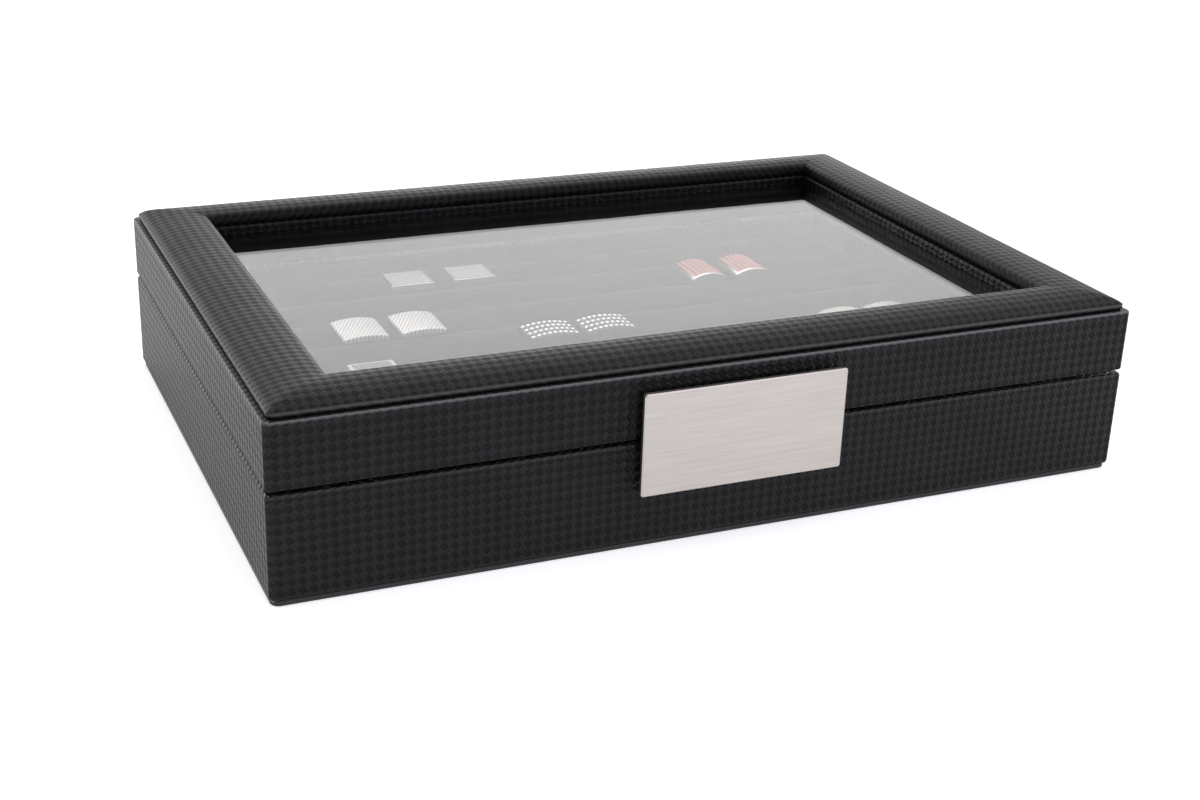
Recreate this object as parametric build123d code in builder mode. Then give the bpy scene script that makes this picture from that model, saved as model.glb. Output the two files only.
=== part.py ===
"""Cufflink display box: a leather-covered case with a glass-topped, hinged lid.

Millimetres, +Z up. The origin is the middle of the underside, -Y is the front.
"""
from build123d import *
import math
import os

os.makedirs("parts", exist_ok=True)

# ------------------------------------------------------------------ outside of the box
BOX_LENGTH = 305.0          # left to right, over the leather
BOX_DEPTH = 210.0           # front to back, over the leather
BASE_HEIGHT = 36.5          # floor to the base's rim
LID_HEIGHT = 21.8           # lid's rim to the top of its leather, without the padded frame
SEAM_GAP = 1.4              # between the two rims, as thick as the closed hinge leaves
CORNER_RADIUS = 2.0         # upright corners of the leather
BASE_EDGE_RADIUS = 1.0      # base rim
LID_EDGE_RADIUS = 1.5       # lid's top edge
HEM_RADIUS = 0.6            # lower edges of both leathers

# ------------------------------------------------------------------ materials' thicknesses
LEATHER = 0.8
WALL_BOARD = 10.0
LINING = 1.2
BOTTOM_COVER = 1.8
BOTTOM_COVER_INSET = 0.6
BOTTOM_COVER_RADIUS = 3.0
BOTTOM_COVER_EASE = 0.5     # rounding of the cover's lower edge
BOTTOM_PANEL = 3.0
TRAY_BOARD = 2.0
TOP_PANEL = 2.6
BOARD_FIT = 0.1             # a board let in between others
CARD_FIT = 0.3              # loose card and glass in their frames

# ------------------------------------------------------------------ window and its padded frame
FRAME_INSET = 1.75          # padded frame's widest line, in from the box's side
FRAME_SIDE = 24.5           # box's side to the padded frame's inner edge, left and right
FRAME_END = 21.75           # the same, front and back
FRAME_RISE = 5.3            # crown over the lid's leather
FRAME_BULGE = 2.1           # height of the widest line
FRAME_TUCK = 0.04           # share of the width that turns under at each edge
FRAME_CARD = 1.2
PANEL_REVEAL = 1.0          # window edge of the panel's leather inside the padded frame
WINDOW_EDGE_RADIUS = 0.7

GLASS = 2.0
BEAD_WIDTH = 5.0
BEAD_HEIGHT = 4.5
LINING_DROP = 0.3           # linings stop this far short of the rims

# ------------------------------------------------------------------ padded rolls
ROLL_COUNT = 8
ROLL_TOP = 32.0             # crown over the floor
ROLL_GAP = 0.3
ROLL_CROWN = 8.0            # height of the rounded top
ROLL_DRAW_IN = 1.8          # each side pulls in by this at the bottom
ROLL_END_RADIUS = 7.0       # rounded ends of the crown

# ------------------------------------------------------------------ closure
MAGNET_RADIUS = 3.0
MAGNET_DEPTH = 3.0
MAGNET_SPAN = 200.0         # between the two magnets
DISC_DEPTH = 1.5
POCKET_FIT = 0.05
BUMPER_RADIUS = 2.5
BUMPER_GAP = 0.1            # left under the lid's rim
BUMPER_INSET = 18.0         # from the box's ends
RIM_LINE = 6.0              # magnets and bumpers, in from the box's sides

# ------------------------------------------------------------------ stop hinges
HINGE_INSET = 62.5          # hinges' middles, in from the box's ends
HINGE_BEHIND = 2.0          # axis behind the box's back
LEAF_LENGTH = 30.0
LEAF_DEPTH = 9.5
LEAF_FIT = 0.05             # each leaf, short of the middle of the seam
BARREL_RADIUS = 1.7
PIN_RADIUS = 0.8
PIN_FIT = 0.05
PIN_HEAD_RADIUS = 1.3
PIN_HEAD = 0.5
KNUCKLE_GAP = 0.1
BARREL_FIT = 0.3            # a leaf's edge to the other leaf's barrel
TAIL_REACH = 4.0            # stop tails, from the axis
TAIL = 0.8                  # thickness of a stop tail
LID_OPENS = 95.0            # degrees
STOP_MARGIN = 1.0           # degrees left between the stop tails
SCREW_RADIUS = 0.9
SCREW_HEAD_RADIUS = 1.6
SCREW_LENGTH = 8.0
SCREW_SPACING = 18.0
SCREW_LINE = 5.0            # screws, in from the box's back
SCREW_FIT = 0.05

# ------------------------------------------------------------------ name plate
PLATE_LENGTH = 72.0
PLATE_HEIGHT = 35.0
PLATE = 1.8
PLATE_CORNER = 1.0
PLATE_BEVEL = 0.4
PLATE_STAND_OFF = 2.7       # back of the plate in front of the leather
PLATE_SHIFT = 1.2           # right of the middle, as it is fixed
STUD_RADIUS = 1.5
STUD_COLLAR = 3.0
STUD_SPACING = 44.0
STUD_DEPTH = 7.0            # into the lid's front
STUD_ABOVE_RIM = 9.0

# ------------------------------------------------------------------ cufflinks
POST_RADIUS = 1.4
POST_LENGTH = 13.0
BAR_RADIUS = 2.0
BAR_LENGTH = 15.0
BAR_ROUNDING = 0.7          # of the bar's radius, at its ends
POST_ROOM = 0.3             # the padding stands off the post by this
HEAD_SEAT = 0.15            # a head's underside over the padding
INLAY = 0.7
INLAY_FIT = 0.03
INLAY_PROUD = 0.2
HEAD_CORNER = 0.5

# ------------------------------------------------------------------ the six pairs of heads
# PLACE is the left head's middle, right of the box's middle. SPACING is to the right head.
# WIDTH is left to right, DEPTH front to back. RISE is how much the top arches across X.
# RIM is the metal left round an inlay.
PLAIN_PLACE = -54.6
PLAIN_SPACING = 25.3
PLAIN_WIDTH = 17.8
PLAIN_DEPTH = 15.5
PLAIN_HEIGHT = 3.4
PLAIN_RIM = 1.0

WEAVE_PLACE = 61.0
WEAVE_SPACING = 19.5
WEAVE_WIDTH = 15.0
WEAVE_DEPTH = 20.0
WEAVE_HEIGHT = 3.8
WEAVE_RISE = 2.0
WEAVE_RIM = 1.3

RIBBED_PLACE = -87.3
RIBBED_SPACING = 21.8
RIBBED_WIDTH = 16.7
RIBBED_DEPTH = 19.5
RIBBED_HEIGHT = 3.2
RIBBED_RISE = 1.1

STUDDED_PLACE = -22.5
STUDDED_SPACING = 22.1
STUDDED_WIDTH = 19.4
STUDDED_DEPTH = 15.0
STUDDED_HEIGHT = 4.4
STUDDED_RISE = 1.3

FRAMED_INSET = 17.6         # left head's middle, in from the left lining
FRAMED_SPACING = 28.6
FRAMED_WIDTH = 16.2
FRAMED_DEPTH = 20.0
FRAMED_HEIGHT = 3.8
FRAMED_RIM = 1.4

BEADED_INSET = 50.5         # left head's middle, in from the right lining
BEADED_SPACING = 19.6
BEADED_WIDTH = 17.5
BEADED_DEPTH = 20.0
BEADED_HEIGHT = 3.9
BEADED_RISE = 1.6

# ------------------------------------------------------------------ what follows from these
LID_RIM = BASE_HEIGHT + SEAM_GAP
LID_TOP = LID_RIM + LID_HEIGHT
PANEL_TOP = LID_TOP - LEATHER
PANEL_BOTTOM = PANEL_TOP - TOP_PANEL
GLASS_BOTTOM = PANEL_BOTTOM - GLASS
BEAD_BOTTOM = GLASS_BOTTOM - BEAD_HEIGHT
FRAME_TOP = LID_TOP + FRAME_RISE

BOARDS_LENGTH = BOX_LENGTH - 2 * LEATHER
BOARDS_DEPTH = BOX_DEPTH - 2 * LEATHER
BAY_LENGTH = BOARDS_LENGTH - 2 * WALL_BOARD      # between the boards
BAY_DEPTH = BOARDS_DEPTH - 2 * WALL_BOARD
ROOM_LENGTH = BAY_LENGTH - 2 * LINING            # between the linings
ROOM_DEPTH = BAY_DEPTH - 2 * LINING

WINDOW_LENGTH = BOX_LENGTH - 2 * FRAME_SIDE
WINDOW_DEPTH = BOX_DEPTH - 2 * FRAME_END
PANEL_WINDOW_LENGTH = WINDOW_LENGTH - 2 * PANEL_REVEAL
PANEL_WINDOW_DEPTH = WINDOW_DEPTH - 2 * PANEL_REVEAL

BOARDS_FLOOR = BOTTOM_COVER
ROOM_FLOOR = BOTTOM_COVER + BOTTOM_PANEL
ROLL_FLOOR = ROOM_FLOOR + TRAY_BOARD
ROLL_PITCH = ROOM_DEPTH / ROLL_COUNT

HALF_TURN = 180             # degrees
HINGE_Y = BOX_DEPTH / 2 + HINGE_BEHIND
HINGE_Z = BASE_HEIGHT + SEAM_GAP / 2
LEAF = SEAM_GAP / 2 - LEAF_FIT
RIM_Y = BOX_DEPTH / 2 - RIM_LINE
SCREW_Y = BOX_DEPTH / 2 - SCREW_LINE

HINGE_CENTRES = [HINGE_INSET - BOX_LENGTH / 2, BOX_LENGTH / 2 - HINGE_INSET]
SCREW_POINTS = [
    (hinge_x + side * SCREW_SPACING / 2, SCREW_Y)
    for hinge_x in HINGE_CENTRES
    for side in (-1, 1)
]
MAGNET_POINTS = [(-MAGNET_SPAN / 2, -RIM_Y), (MAGNET_SPAN / 2, -RIM_Y)]
BUMPER_X = BOX_LENGTH / 2 - BUMPER_INSET
BUMPER_POINTS = [(side * BUMPER_X, end * RIM_Y) for side in (-1, 1) for end in (-1, 1)]
STUD_POINTS = [(PLATE_SHIFT + side * STUD_SPACING / 2, LID_RIM + STUD_ABOVE_RIM) for side in (-1, 1)]


def gap_line(number):
    """Y of the gap in front of a roll, counted from the back."""
    return ROOM_DEPTH / 2 - number * ROLL_PITCH


def seat_height(head_depth):
    """Height at which a head that spans a gap rests on the two crowns."""
    half_roll = (ROLL_PITCH - ROLL_GAP) / 2
    from_crown = min(max(ROLL_PITCH / 2 - head_depth / 2, 0), half_roll)
    drop = ROLL_CROWN * (1 - math.sqrt(1 - (from_crown / half_roll) ** 2))
    return ROLL_TOP - drop + HEAD_SEAT


class Pair:
    """Two matching heads side by side in one gap between the rolls."""

    def __init__(self, gap, left, spacing, width, depth, height, rise=0.0, rim=0.0):
        self.y = gap_line(gap)
        self.centres = [left, left + spacing]
        self.width = width          # along X
        self.depth = depth          # along Y
        self.height = height        # at the middle
        self.rise = rise            # how much the top arches across X
        self.rim = rim              # metal left round an inlay
        self.seat = seat_height(depth)


FRAMED_PLACE = FRAMED_INSET - ROOM_LENGTH / 2
BEADED_PLACE = ROOM_LENGTH / 2 - BEADED_INSET
PLAIN = Pair(1, PLAIN_PLACE, PLAIN_SPACING, PLAIN_WIDTH, PLAIN_DEPTH, PLAIN_HEIGHT, rim=PLAIN_RIM)
WEAVE = Pair(2, WEAVE_PLACE, WEAVE_SPACING, WEAVE_WIDTH, WEAVE_DEPTH, WEAVE_HEIGHT, WEAVE_RISE, WEAVE_RIM)
RIBBED = Pair(3, RIBBED_PLACE, RIBBED_SPACING, RIBBED_WIDTH, RIBBED_DEPTH, RIBBED_HEIGHT, RIBBED_RISE)
STUDDED = Pair(
    4, STUDDED_PLACE, STUDDED_SPACING, STUDDED_WIDTH, STUDDED_DEPTH, STUDDED_HEIGHT, STUDDED_RISE
)
FRAMED = Pair(5, FRAMED_PLACE, FRAMED_SPACING, FRAMED_WIDTH, FRAMED_DEPTH, FRAMED_HEIGHT, rim=FRAMED_RIM)
BEADED = Pair(5, BEADED_PLACE, BEADED_SPACING, BEADED_WIDTH, BEADED_DEPTH, BEADED_HEIGHT, BEADED_RISE)
PAIRS = [PLAIN, WEAVE, RIBBED, STUDDED, FRAMED, BEADED]


def save(piece, label):
    """Name a finished piece and write it."""
    piece.part.label = label
    export_step(piece.part, f"parts/{label}.step")


# ====================================================================== base: bottom
with BuildPart() as bottom_cover:
    with BuildSketch():
        RectangleRounded(
            BOX_LENGTH - 2 * BOTTOM_COVER_INSET,
            BOX_DEPTH - 2 * BOTTOM_COVER_INSET,
            BOTTOM_COVER_RADIUS,
        )
    extrude(amount=BOTTOM_COVER)
    fillet(bottom_cover.edges().group_by(Axis.Z)[0], BOTTOM_COVER_EASE)
save(bottom_cover, "bottom_cover")

with BuildPart() as bottom_panel:
    with BuildSketch(Plane.XY.offset(BOARDS_FLOOR)):
        Rectangle(BAY_LENGTH - 2 * BOARD_FIT, BAY_DEPTH - 2 * BOARD_FIT)
    extrude(amount=BOTTOM_PANEL)
save(bottom_panel, "bottom_panel")


# ====================================================================== walls of base and lid
def mitred_outline(side):
    """Plan of one wall board, mitred at both ends."""
    along, across = BOARDS_LENGTH / 2, BOARDS_DEPTH / 2
    if side in ("left", "right"):
        along, across = across, along
    inner_along, inner_across = along - WALL_BOARD, across - WALL_BOARD
    outline = [(-along, -across), (along, -across), (inner_along, -inner_across), (-inner_along, -inner_across)]
    turn = {"front": 0, "right": 90, "back": 180, "left": 270}[side]
    c, s = round(math.cos(math.radians(turn))), round(math.sin(math.radians(turn)))
    return [(c * x - s * y, s * x + c * y) for x, y in outline]


def wall_board(side, bottom, top):
    """One of four plain walls that stand on the same level."""
    with BuildPart() as board:
        with BuildSketch(Plane.XY.offset(bottom)):
            with BuildLine():
                Polyline(*mitred_outline(side), close=True)
            make_face()
        extrude(amount=top - bottom)
    return board


BASE_BOARD_TOP = BASE_HEIGHT - LEATHER
LID_BOARD_BOTTOM = LID_RIM + LEATHER

for side in ("left", "right"):
    save(wall_board(side, BOARDS_FLOOR, BASE_BOARD_TOP), f"base_{side}_board")
    save(wall_board(side, LID_BOARD_BOTTOM, PANEL_BOTTOM), f"lid_{side}_board")

with BuildPart() as base_front_board:
    add(wall_board("front", BOARDS_FLOOR, BASE_BOARD_TOP).part)
    with BuildSketch(Plane.XY.offset(BASE_HEIGHT)):
        with Locations(MAGNET_POINTS):
            Circle(MAGNET_RADIUS + POCKET_FIT)
    extrude(amount=-(MAGNET_DEPTH + POCKET_FIT), mode=Mode.SUBTRACT)
save(base_front_board, "base_front_board")

with BuildPart() as base_back_board:
    add(wall_board("back", BOARDS_FLOOR, BASE_BOARD_TOP).part)
    with BuildSketch(Plane.XY.offset(HINGE_Z)):
        with Locations(SCREW_POINTS):
            Circle(SCREW_RADIUS + SCREW_FIT)
    extrude(amount=-(SCREW_LENGTH + SCREW_FIT), mode=Mode.SUBTRACT)
save(base_back_board, "base_back_board")

with BuildPart() as lid_front_board:
    add(wall_board("front", LID_BOARD_BOTTOM, PANEL_BOTTOM).part)
    with BuildSketch(Plane.XY.offset(LID_RIM)):
        with Locations(MAGNET_POINTS):
            Circle(MAGNET_RADIUS + POCKET_FIT)
    extrude(amount=DISC_DEPTH + POCKET_FIT, mode=Mode.SUBTRACT)
    with BuildSketch(Plane.XZ.offset(BOX_DEPTH / 2)):
        with Locations(STUD_POINTS):
            Circle(STUD_RADIUS + POCKET_FIT)
    extrude(amount=-(STUD_DEPTH + POCKET_FIT), mode=Mode.SUBTRACT)
save(lid_front_board, "lid_front_board")

with BuildPart() as lid_back_board:
    add(wall_board("back", LID_BOARD_BOTTOM, PANEL_BOTTOM).part)
    with BuildSketch(Plane.XY.offset(HINGE_Z)):
        with Locations(SCREW_POINTS):
            Circle(SCREW_RADIUS + SCREW_FIT)
    extrude(amount=SCREW_LENGTH + SCREW_FIT, mode=Mode.SUBTRACT)
save(lid_back_board, "lid_back_board")

with BuildPart() as lid_top_panel:
    with BuildSketch(Plane.XY.offset(PANEL_BOTTOM)):
        Rectangle(BOARDS_LENGTH, BOARDS_DEPTH)
        Rectangle(
            PANEL_WINDOW_LENGTH + 2 * LEATHER,
            PANEL_WINDOW_DEPTH + 2 * LEATHER,
            mode=Mode.SUBTRACT,
        )
    extrude(amount=TOP_PANEL)
save(lid_top_panel, "lid_top_panel")

# ====================================================================== leather
with BuildPart() as base_leather_wrap:
    with BuildSketch(Plane.XY.offset(BOARDS_FLOOR)):
        RectangleRounded(BOX_LENGTH, BOX_DEPTH, CORNER_RADIUS)
    extrude(amount=BASE_HEIGHT - BOARDS_FLOOR)
    fillet(base_leather_wrap.edges().group_by(Axis.Z)[-1], BASE_EDGE_RADIUS)
    fillet(base_leather_wrap.edges().group_by(Axis.Z)[0], HEM_RADIUS)
    with BuildSketch(Plane.XY.offset(BOARDS_FLOOR)):
        Rectangle(BOARDS_LENGTH, BOARDS_DEPTH)
    extrude(amount=BASE_BOARD_TOP - BOARDS_FLOOR, mode=Mode.SUBTRACT)
    with BuildSketch(Plane.XY.offset(BASE_HEIGHT)):
        Rectangle(BAY_LENGTH, BAY_DEPTH)
        with Locations(MAGNET_POINTS):
            Circle(MAGNET_RADIUS + POCKET_FIT)
        with Locations(SCREW_POINTS):
            Circle(SCREW_RADIUS + SCREW_FIT)
    extrude(amount=-LEATHER, mode=Mode.SUBTRACT)
save(base_leather_wrap, "base_leather_wrap")

with BuildPart() as lid_leather_wrap:
    with BuildSketch(Plane.XY.offset(LID_RIM)):
        RectangleRounded(BOX_LENGTH, BOX_DEPTH, CORNER_RADIUS)
    extrude(amount=LID_HEIGHT)
    fillet(lid_leather_wrap.edges().group_by(Axis.Z)[-1], LID_EDGE_RADIUS)
    fillet(lid_leather_wrap.edges().group_by(Axis.Z)[0], HEM_RADIUS)
    with BuildSketch(Plane.XY.offset(LID_BOARD_BOTTOM)):
        Rectangle(BOARDS_LENGTH, BOARDS_DEPTH)
    extrude(amount=PANEL_TOP - LID_BOARD_BOTTOM, mode=Mode.SUBTRACT)
    with BuildSketch(Plane.XY.offset(PANEL_BOTTOM)):
        Rectangle(PANEL_WINDOW_LENGTH + 2 * LEATHER, PANEL_WINDOW_DEPTH + 2 * LEATHER)
    extrude(amount=TOP_PANEL)
    with BuildSketch(Plane.XY.offset(PANEL_BOTTOM)):
        Rectangle(PANEL_WINDOW_LENGTH, PANEL_WINDOW_DEPTH)
    extrude(amount=LID_TOP - PANEL_BOTTOM, mode=Mode.SUBTRACT)
    window_edge = lid_leather_wrap.edges().group_by(Axis.Z)[-1].filter_by(
        lambda edge: abs(edge.center().X) < WINDOW_LENGTH / 2 + LEATHER
        and abs(edge.center().Y) < WINDOW_DEPTH / 2 + LEATHER
    )
    fillet(window_edge, WINDOW_EDGE_RADIUS)
    with BuildSketch(Plane.XY.offset(LID_RIM)):
        Rectangle(BAY_LENGTH, BAY_DEPTH)
        with Locations(MAGNET_POINTS):
            Circle(MAGNET_RADIUS + POCKET_FIT)
        with Locations(SCREW_POINTS):
            Circle(SCREW_RADIUS + SCREW_FIT)
    extrude(amount=LEATHER, mode=Mode.SUBTRACT)
    with BuildSketch(Plane.XZ.offset(BOX_DEPTH / 2)):
        with Locations(STUD_POINTS):
            Circle(STUD_RADIUS + POCKET_FIT)
    extrude(amount=-LEATHER, mode=Mode.SUBTRACT)
save(lid_leather_wrap, "lid_leather_wrap")


# ====================================================================== padded frame
def frame_section(edge, inward, width, floor, crown):
    """Pillow section of one side: flat floor, tucked edges, domed top.

    edge is the outer widest line, inward is +1 or -1, and the shape stretches with the width,
    so that the sections of neighbouring sides meet at the mitre.
    """
    waist = LID_TOP + FRAME_BULGE
    lift = (crown - waist) * 4 / 3

    def at(share, height):
        return (edge + inward * share * width, height)

    Bezier(at(0, waist), at(0, waist + lift), at(1, waist + lift), at(1, waist))
    Bezier(at(1, waist), at(1, floor), at(1 - FRAME_TUCK, floor))
    Line(at(1 - FRAME_TUCK, floor), at(FRAME_TUCK, floor))
    Bezier(at(FRAME_TUCK, floor), at(0, floor), at(0, waist))


def frame_side(side, skin):
    """One mitred side of the padded frame, taken in all round by skin."""
    outer = (BOX_LENGTH / 2 - FRAME_INSET - skin, BOX_DEPTH / 2 - FRAME_INSET - skin)
    inner = (WINDOW_LENGTH / 2 + skin, WINDOW_DEPTH / 2 + skin)
    across = 0 if side in ("left", "right") else 1
    sign = -1 if side in ("left", "front") else 1
    width = outer[across] - inner[across]
    plane = Plane.XZ if across == 0 else Plane.YZ
    with BuildPart() as piece:
        with BuildSketch(plane):
            with BuildLine():
                frame_section(sign * outer[across], -sign, width, LID_TOP, FRAME_TOP - skin)
            make_face()
        extrude(amount=outer[1 - across], both=True)
        with BuildSketch(Plane.XY.offset(LID_TOP)):
            with BuildLine():
                if across == 0:
                    Polyline(
                        (sign * outer[0], -outer[1]),
                        (sign * outer[0], outer[1]),
                        (sign * inner[0], inner[1]),
                        (sign * inner[0], -inner[1]),
                        close=True,
                    )
                else:
                    Polyline(
                        (-outer[0], sign * outer[1]),
                        (outer[0], sign * outer[1]),
                        (inner[0], sign * inner[1]),
                        (-inner[0], sign * inner[1]),
                        close=True,
                    )
            make_face()
        extrude(amount=2 * FRAME_RISE, mode=Mode.INTERSECT)
    return piece.part


SIDES = ("front", "right", "back", "left")
outer_sides = [frame_side(side, 0.0) for side in SIDES]
filling_sides = [frame_side(side, LEATHER) for side in SIDES]
CARD_TOP = LID_TOP + FRAME_CARD

with BuildPart() as padded_frame_card:
    for side_piece in filling_sides:
        add(side_piece)
    split(bisect_by=Plane.XY.offset(CARD_TOP), keep=Keep.BOTTOM)
save(padded_frame_card, "padded_frame_card")

with BuildPart() as padded_frame_foam:
    for side_piece in filling_sides:
        add(side_piece)
    split(bisect_by=Plane.XY.offset(CARD_TOP), keep=Keep.TOP)
save(padded_frame_foam, "padded_frame_foam")

with BuildPart() as padded_frame_cover:
    for side_piece in outer_sides:
        add(side_piece)
    for side_piece in filling_sides:
        add(side_piece, mode=Mode.SUBTRACT)
save(padded_frame_cover, "padded_frame_cover")

# ====================================================================== glass and its beads
with BuildPart() as glass_pane:
    with BuildSketch(Plane.XY.offset(GLASS_BOTTOM)):
        Rectangle(BAY_LENGTH - 2 * CARD_FIT, BAY_DEPTH - 2 * CARD_FIT)
    extrude(amount=GLASS)
save(glass_pane, "glass_pane")


def glass_bead(length, x, y, along_x):
    """A square strip with its lower inner edge eased, under the glass."""
    size = (length, BEAD_WIDTH) if along_x else (BEAD_WIDTH, length)
    with BuildPart() as bead:
        with BuildSketch(Plane.XY.offset(BEAD_BOTTOM)):
            with Locations((x, y)):
                Rectangle(*size)
        extrude(amount=BEAD_HEIGHT)
        low = bead.edges().group_by(Axis.Z)[0]
        inner = low.sort_by(lambda edge: edge.center().Y if along_x else edge.center().X)
        fillet(inner[-1 if (y if along_x else x) < 0 else 0], BEAD_WIDTH / 4)
    return bead


BEAD_Y = BAY_DEPTH / 2 - BEAD_WIDTH / 2
BEAD_X = BAY_LENGTH / 2 - BEAD_WIDTH / 2
SIDE_BEAD = BAY_DEPTH - 2 * BEAD_WIDTH
save(glass_bead(BAY_LENGTH, 0, -BEAD_Y, True), "glass_bead_front")
save(glass_bead(BAY_LENGTH, 0, BEAD_Y, True), "glass_bead_back")
save(glass_bead(SIDE_BEAD, -BEAD_X, 0, False), "glass_bead_left")
save(glass_bead(SIDE_BEAD, BEAD_X, 0, False), "glass_bead_right")


# ====================================================================== linings and tray
def wall_lining(bottom, top):
    """A band of card round the inside of four walls."""
    with BuildPart() as lining:
        with BuildSketch(Plane.XY.offset(bottom)):
            Rectangle(BAY_LENGTH, BAY_DEPTH)
            Rectangle(ROOM_LENGTH, ROOM_DEPTH, mode=Mode.SUBTRACT)
        extrude(amount=top - bottom)
    return lining


save(wall_lining(ROOM_FLOOR, BASE_HEIGHT - LINING_DROP), "base_wall_lining")
save(wall_lining(LID_RIM + LINING_DROP, BEAD_BOTTOM), "lid_wall_lining")

with BuildPart() as tray_board:
    with BuildSketch(Plane.XY.offset(ROOM_FLOOR)):
        Rectangle(ROOM_LENGTH - 2 * CARD_FIT, ROOM_DEPTH - 2 * CARD_FIT)
    extrude(amount=TRAY_BOARD)
save(tray_board, "tray_board")


# ====================================================================== padded rolls
def roll_outline(middle_y):
    """Section of one roll: flat foot, drawn-in sides, elliptical crown."""
    half = (ROLL_PITCH - ROLL_GAP) / 2
    foot = half - ROLL_DRAW_IN
    shoulder = ROLL_TOP - ROLL_CROWN
    belly = (ROLL_FLOOR + shoulder) / 2
    swell = half - ROLL_DRAW_IN / 4
    Line((middle_y - foot, ROLL_FLOOR), (middle_y + foot, ROLL_FLOOR))
    ThreePointArc((middle_y + foot, ROLL_FLOOR), (middle_y + swell, belly), (middle_y + half, shoulder))
    EllipticalCenterArc((middle_y, shoulder), half, ROLL_CROWN, start_angle=0, arc_size=HALF_TURN)
    ThreePointArc((middle_y - half, shoulder), (middle_y - swell, belly), (middle_y - foot, ROLL_FLOOR))


def cushion_roll(number):
    """A roll along X, with room pressed into it by the posts that stand beside it."""
    middle_y = ROOM_DEPTH / 2 - (number - 0.5) * ROLL_PITCH
    length = ROOM_LENGTH - 2 * CARD_FIT
    with BuildPart() as roll:
        with BuildSketch(Plane.YZ):
            with BuildLine():
                roll_outline(middle_y)
            make_face()
        extrude(amount=length / 2, both=True)
        with BuildSketch(Plane.XZ) as side_view:
            with Locations((0, (ROLL_FLOOR + ROLL_TOP) / 2)):
                Rectangle(length, ROLL_TOP - ROLL_FLOOR)
            fillet(side_view.vertices().group_by(Axis.Y)[-1], ROLL_END_RADIUS)
        extrude(amount=BOX_DEPTH, both=True, mode=Mode.INTERSECT)
        for pair in PAIRS:
            if abs(pair.y - middle_y) < ROLL_PITCH:
                for x in pair.centres:
                    add(back_solid(x, pair, POST_ROOM), mode=Mode.SUBTRACT)
    return roll


def back_solid(x, pair, room):
    """Post with a rounded cross-bar at its foot, grown all round by room."""
    foot_z = pair.seat - POST_LENGTH
    radius = BAR_RADIUS + room
    with BuildPart() as back:
        with Locations((x, pair.y, foot_z)):
            Cylinder(radius, BAR_LENGTH + 2 * room, rotation=(0, 90, 0))
        fillet(back.edges().filter_by(GeomType.CIRCLE), radius * BAR_ROUNDING)
        with BuildSketch(Plane.XY.offset(foot_z)):
            with Locations((x, pair.y)):
                Circle(POST_RADIUS + room)
        extrude(amount=POST_LENGTH)
    return back.part


for number in range(1, ROLL_COUNT + 1):
    save(cushion_roll(number), f"cushion_roll_{number}")

# ====================================================================== closure
with BuildPart() as base_magnets:
    with BuildSketch(Plane.XY.offset(BASE_HEIGHT)):
        with Locations(MAGNET_POINTS):
            Circle(MAGNET_RADIUS)
    extrude(amount=-MAGNET_DEPTH)
save(base_magnets, "base_magnets")

with BuildPart() as lid_strike_discs:
    with BuildSketch(Plane.XY.offset(LID_RIM)):
        with Locations(MAGNET_POINTS):
            Circle(MAGNET_RADIUS)
    extrude(amount=DISC_DEPTH)
save(lid_strike_discs, "lid_strike_discs")

with BuildPart() as rim_bumpers:
    with BuildSketch(Plane.XY.offset(BASE_HEIGHT)):
        with Locations(BUMPER_POINTS):
            Circle(BUMPER_RADIUS)
    extrude(amount=SEAM_GAP - BUMPER_GAP)
    fillet(rim_bumpers.edges().group_by(Axis.Z)[-1], (SEAM_GAP - BUMPER_GAP) / 3)
save(rim_bumpers, "rim_bumpers")

# ====================================================================== hinges
KNUCKLE = LEAF_LENGTH / 3
TAIL_ANGLE = math.radians((LID_OPENS + STOP_MARGIN) / 2)


def tail_outline(up, start):
    """A stop tail that leaves the barrel behind the box; up is +1 on the lid's leaf."""
    along = (math.cos(TAIL_ANGLE), math.sin(TAIL_ANGLE))
    across = (-math.sin(TAIL_ANGLE), math.cos(TAIL_ANGLE))
    corners = [(start, 0), (TAIL_REACH, 0), (TAIL_REACH, TAIL), (start, TAIL)]
    return [
        (
            HINGE_Y + r * along[0] + t * across[0],
            HINGE_Z + up * (r * along[1] + t * across[1]),
        )
        for r, t in corners
    ]


def screw_solid(room):
    """A countersunk wood screw with its head's face on the floor, point down, grown by room."""
    with BuildPart() as screw:
        with BuildSketch(Plane.XZ):
            with BuildLine():
                Polyline(
                    (0, 0),
                    (SCREW_HEAD_RADIUS + room, 0),
                    (SCREW_RADIUS + room, -LEAF),
                    (SCREW_RADIUS + room, -SCREW_LENGTH + SCREW_RADIUS),
                    (0, -SCREW_LENGTH - room),
                    close=True,
                )
            make_face()
        revolve(axis=Axis.Z)
    return screw.part


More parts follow.
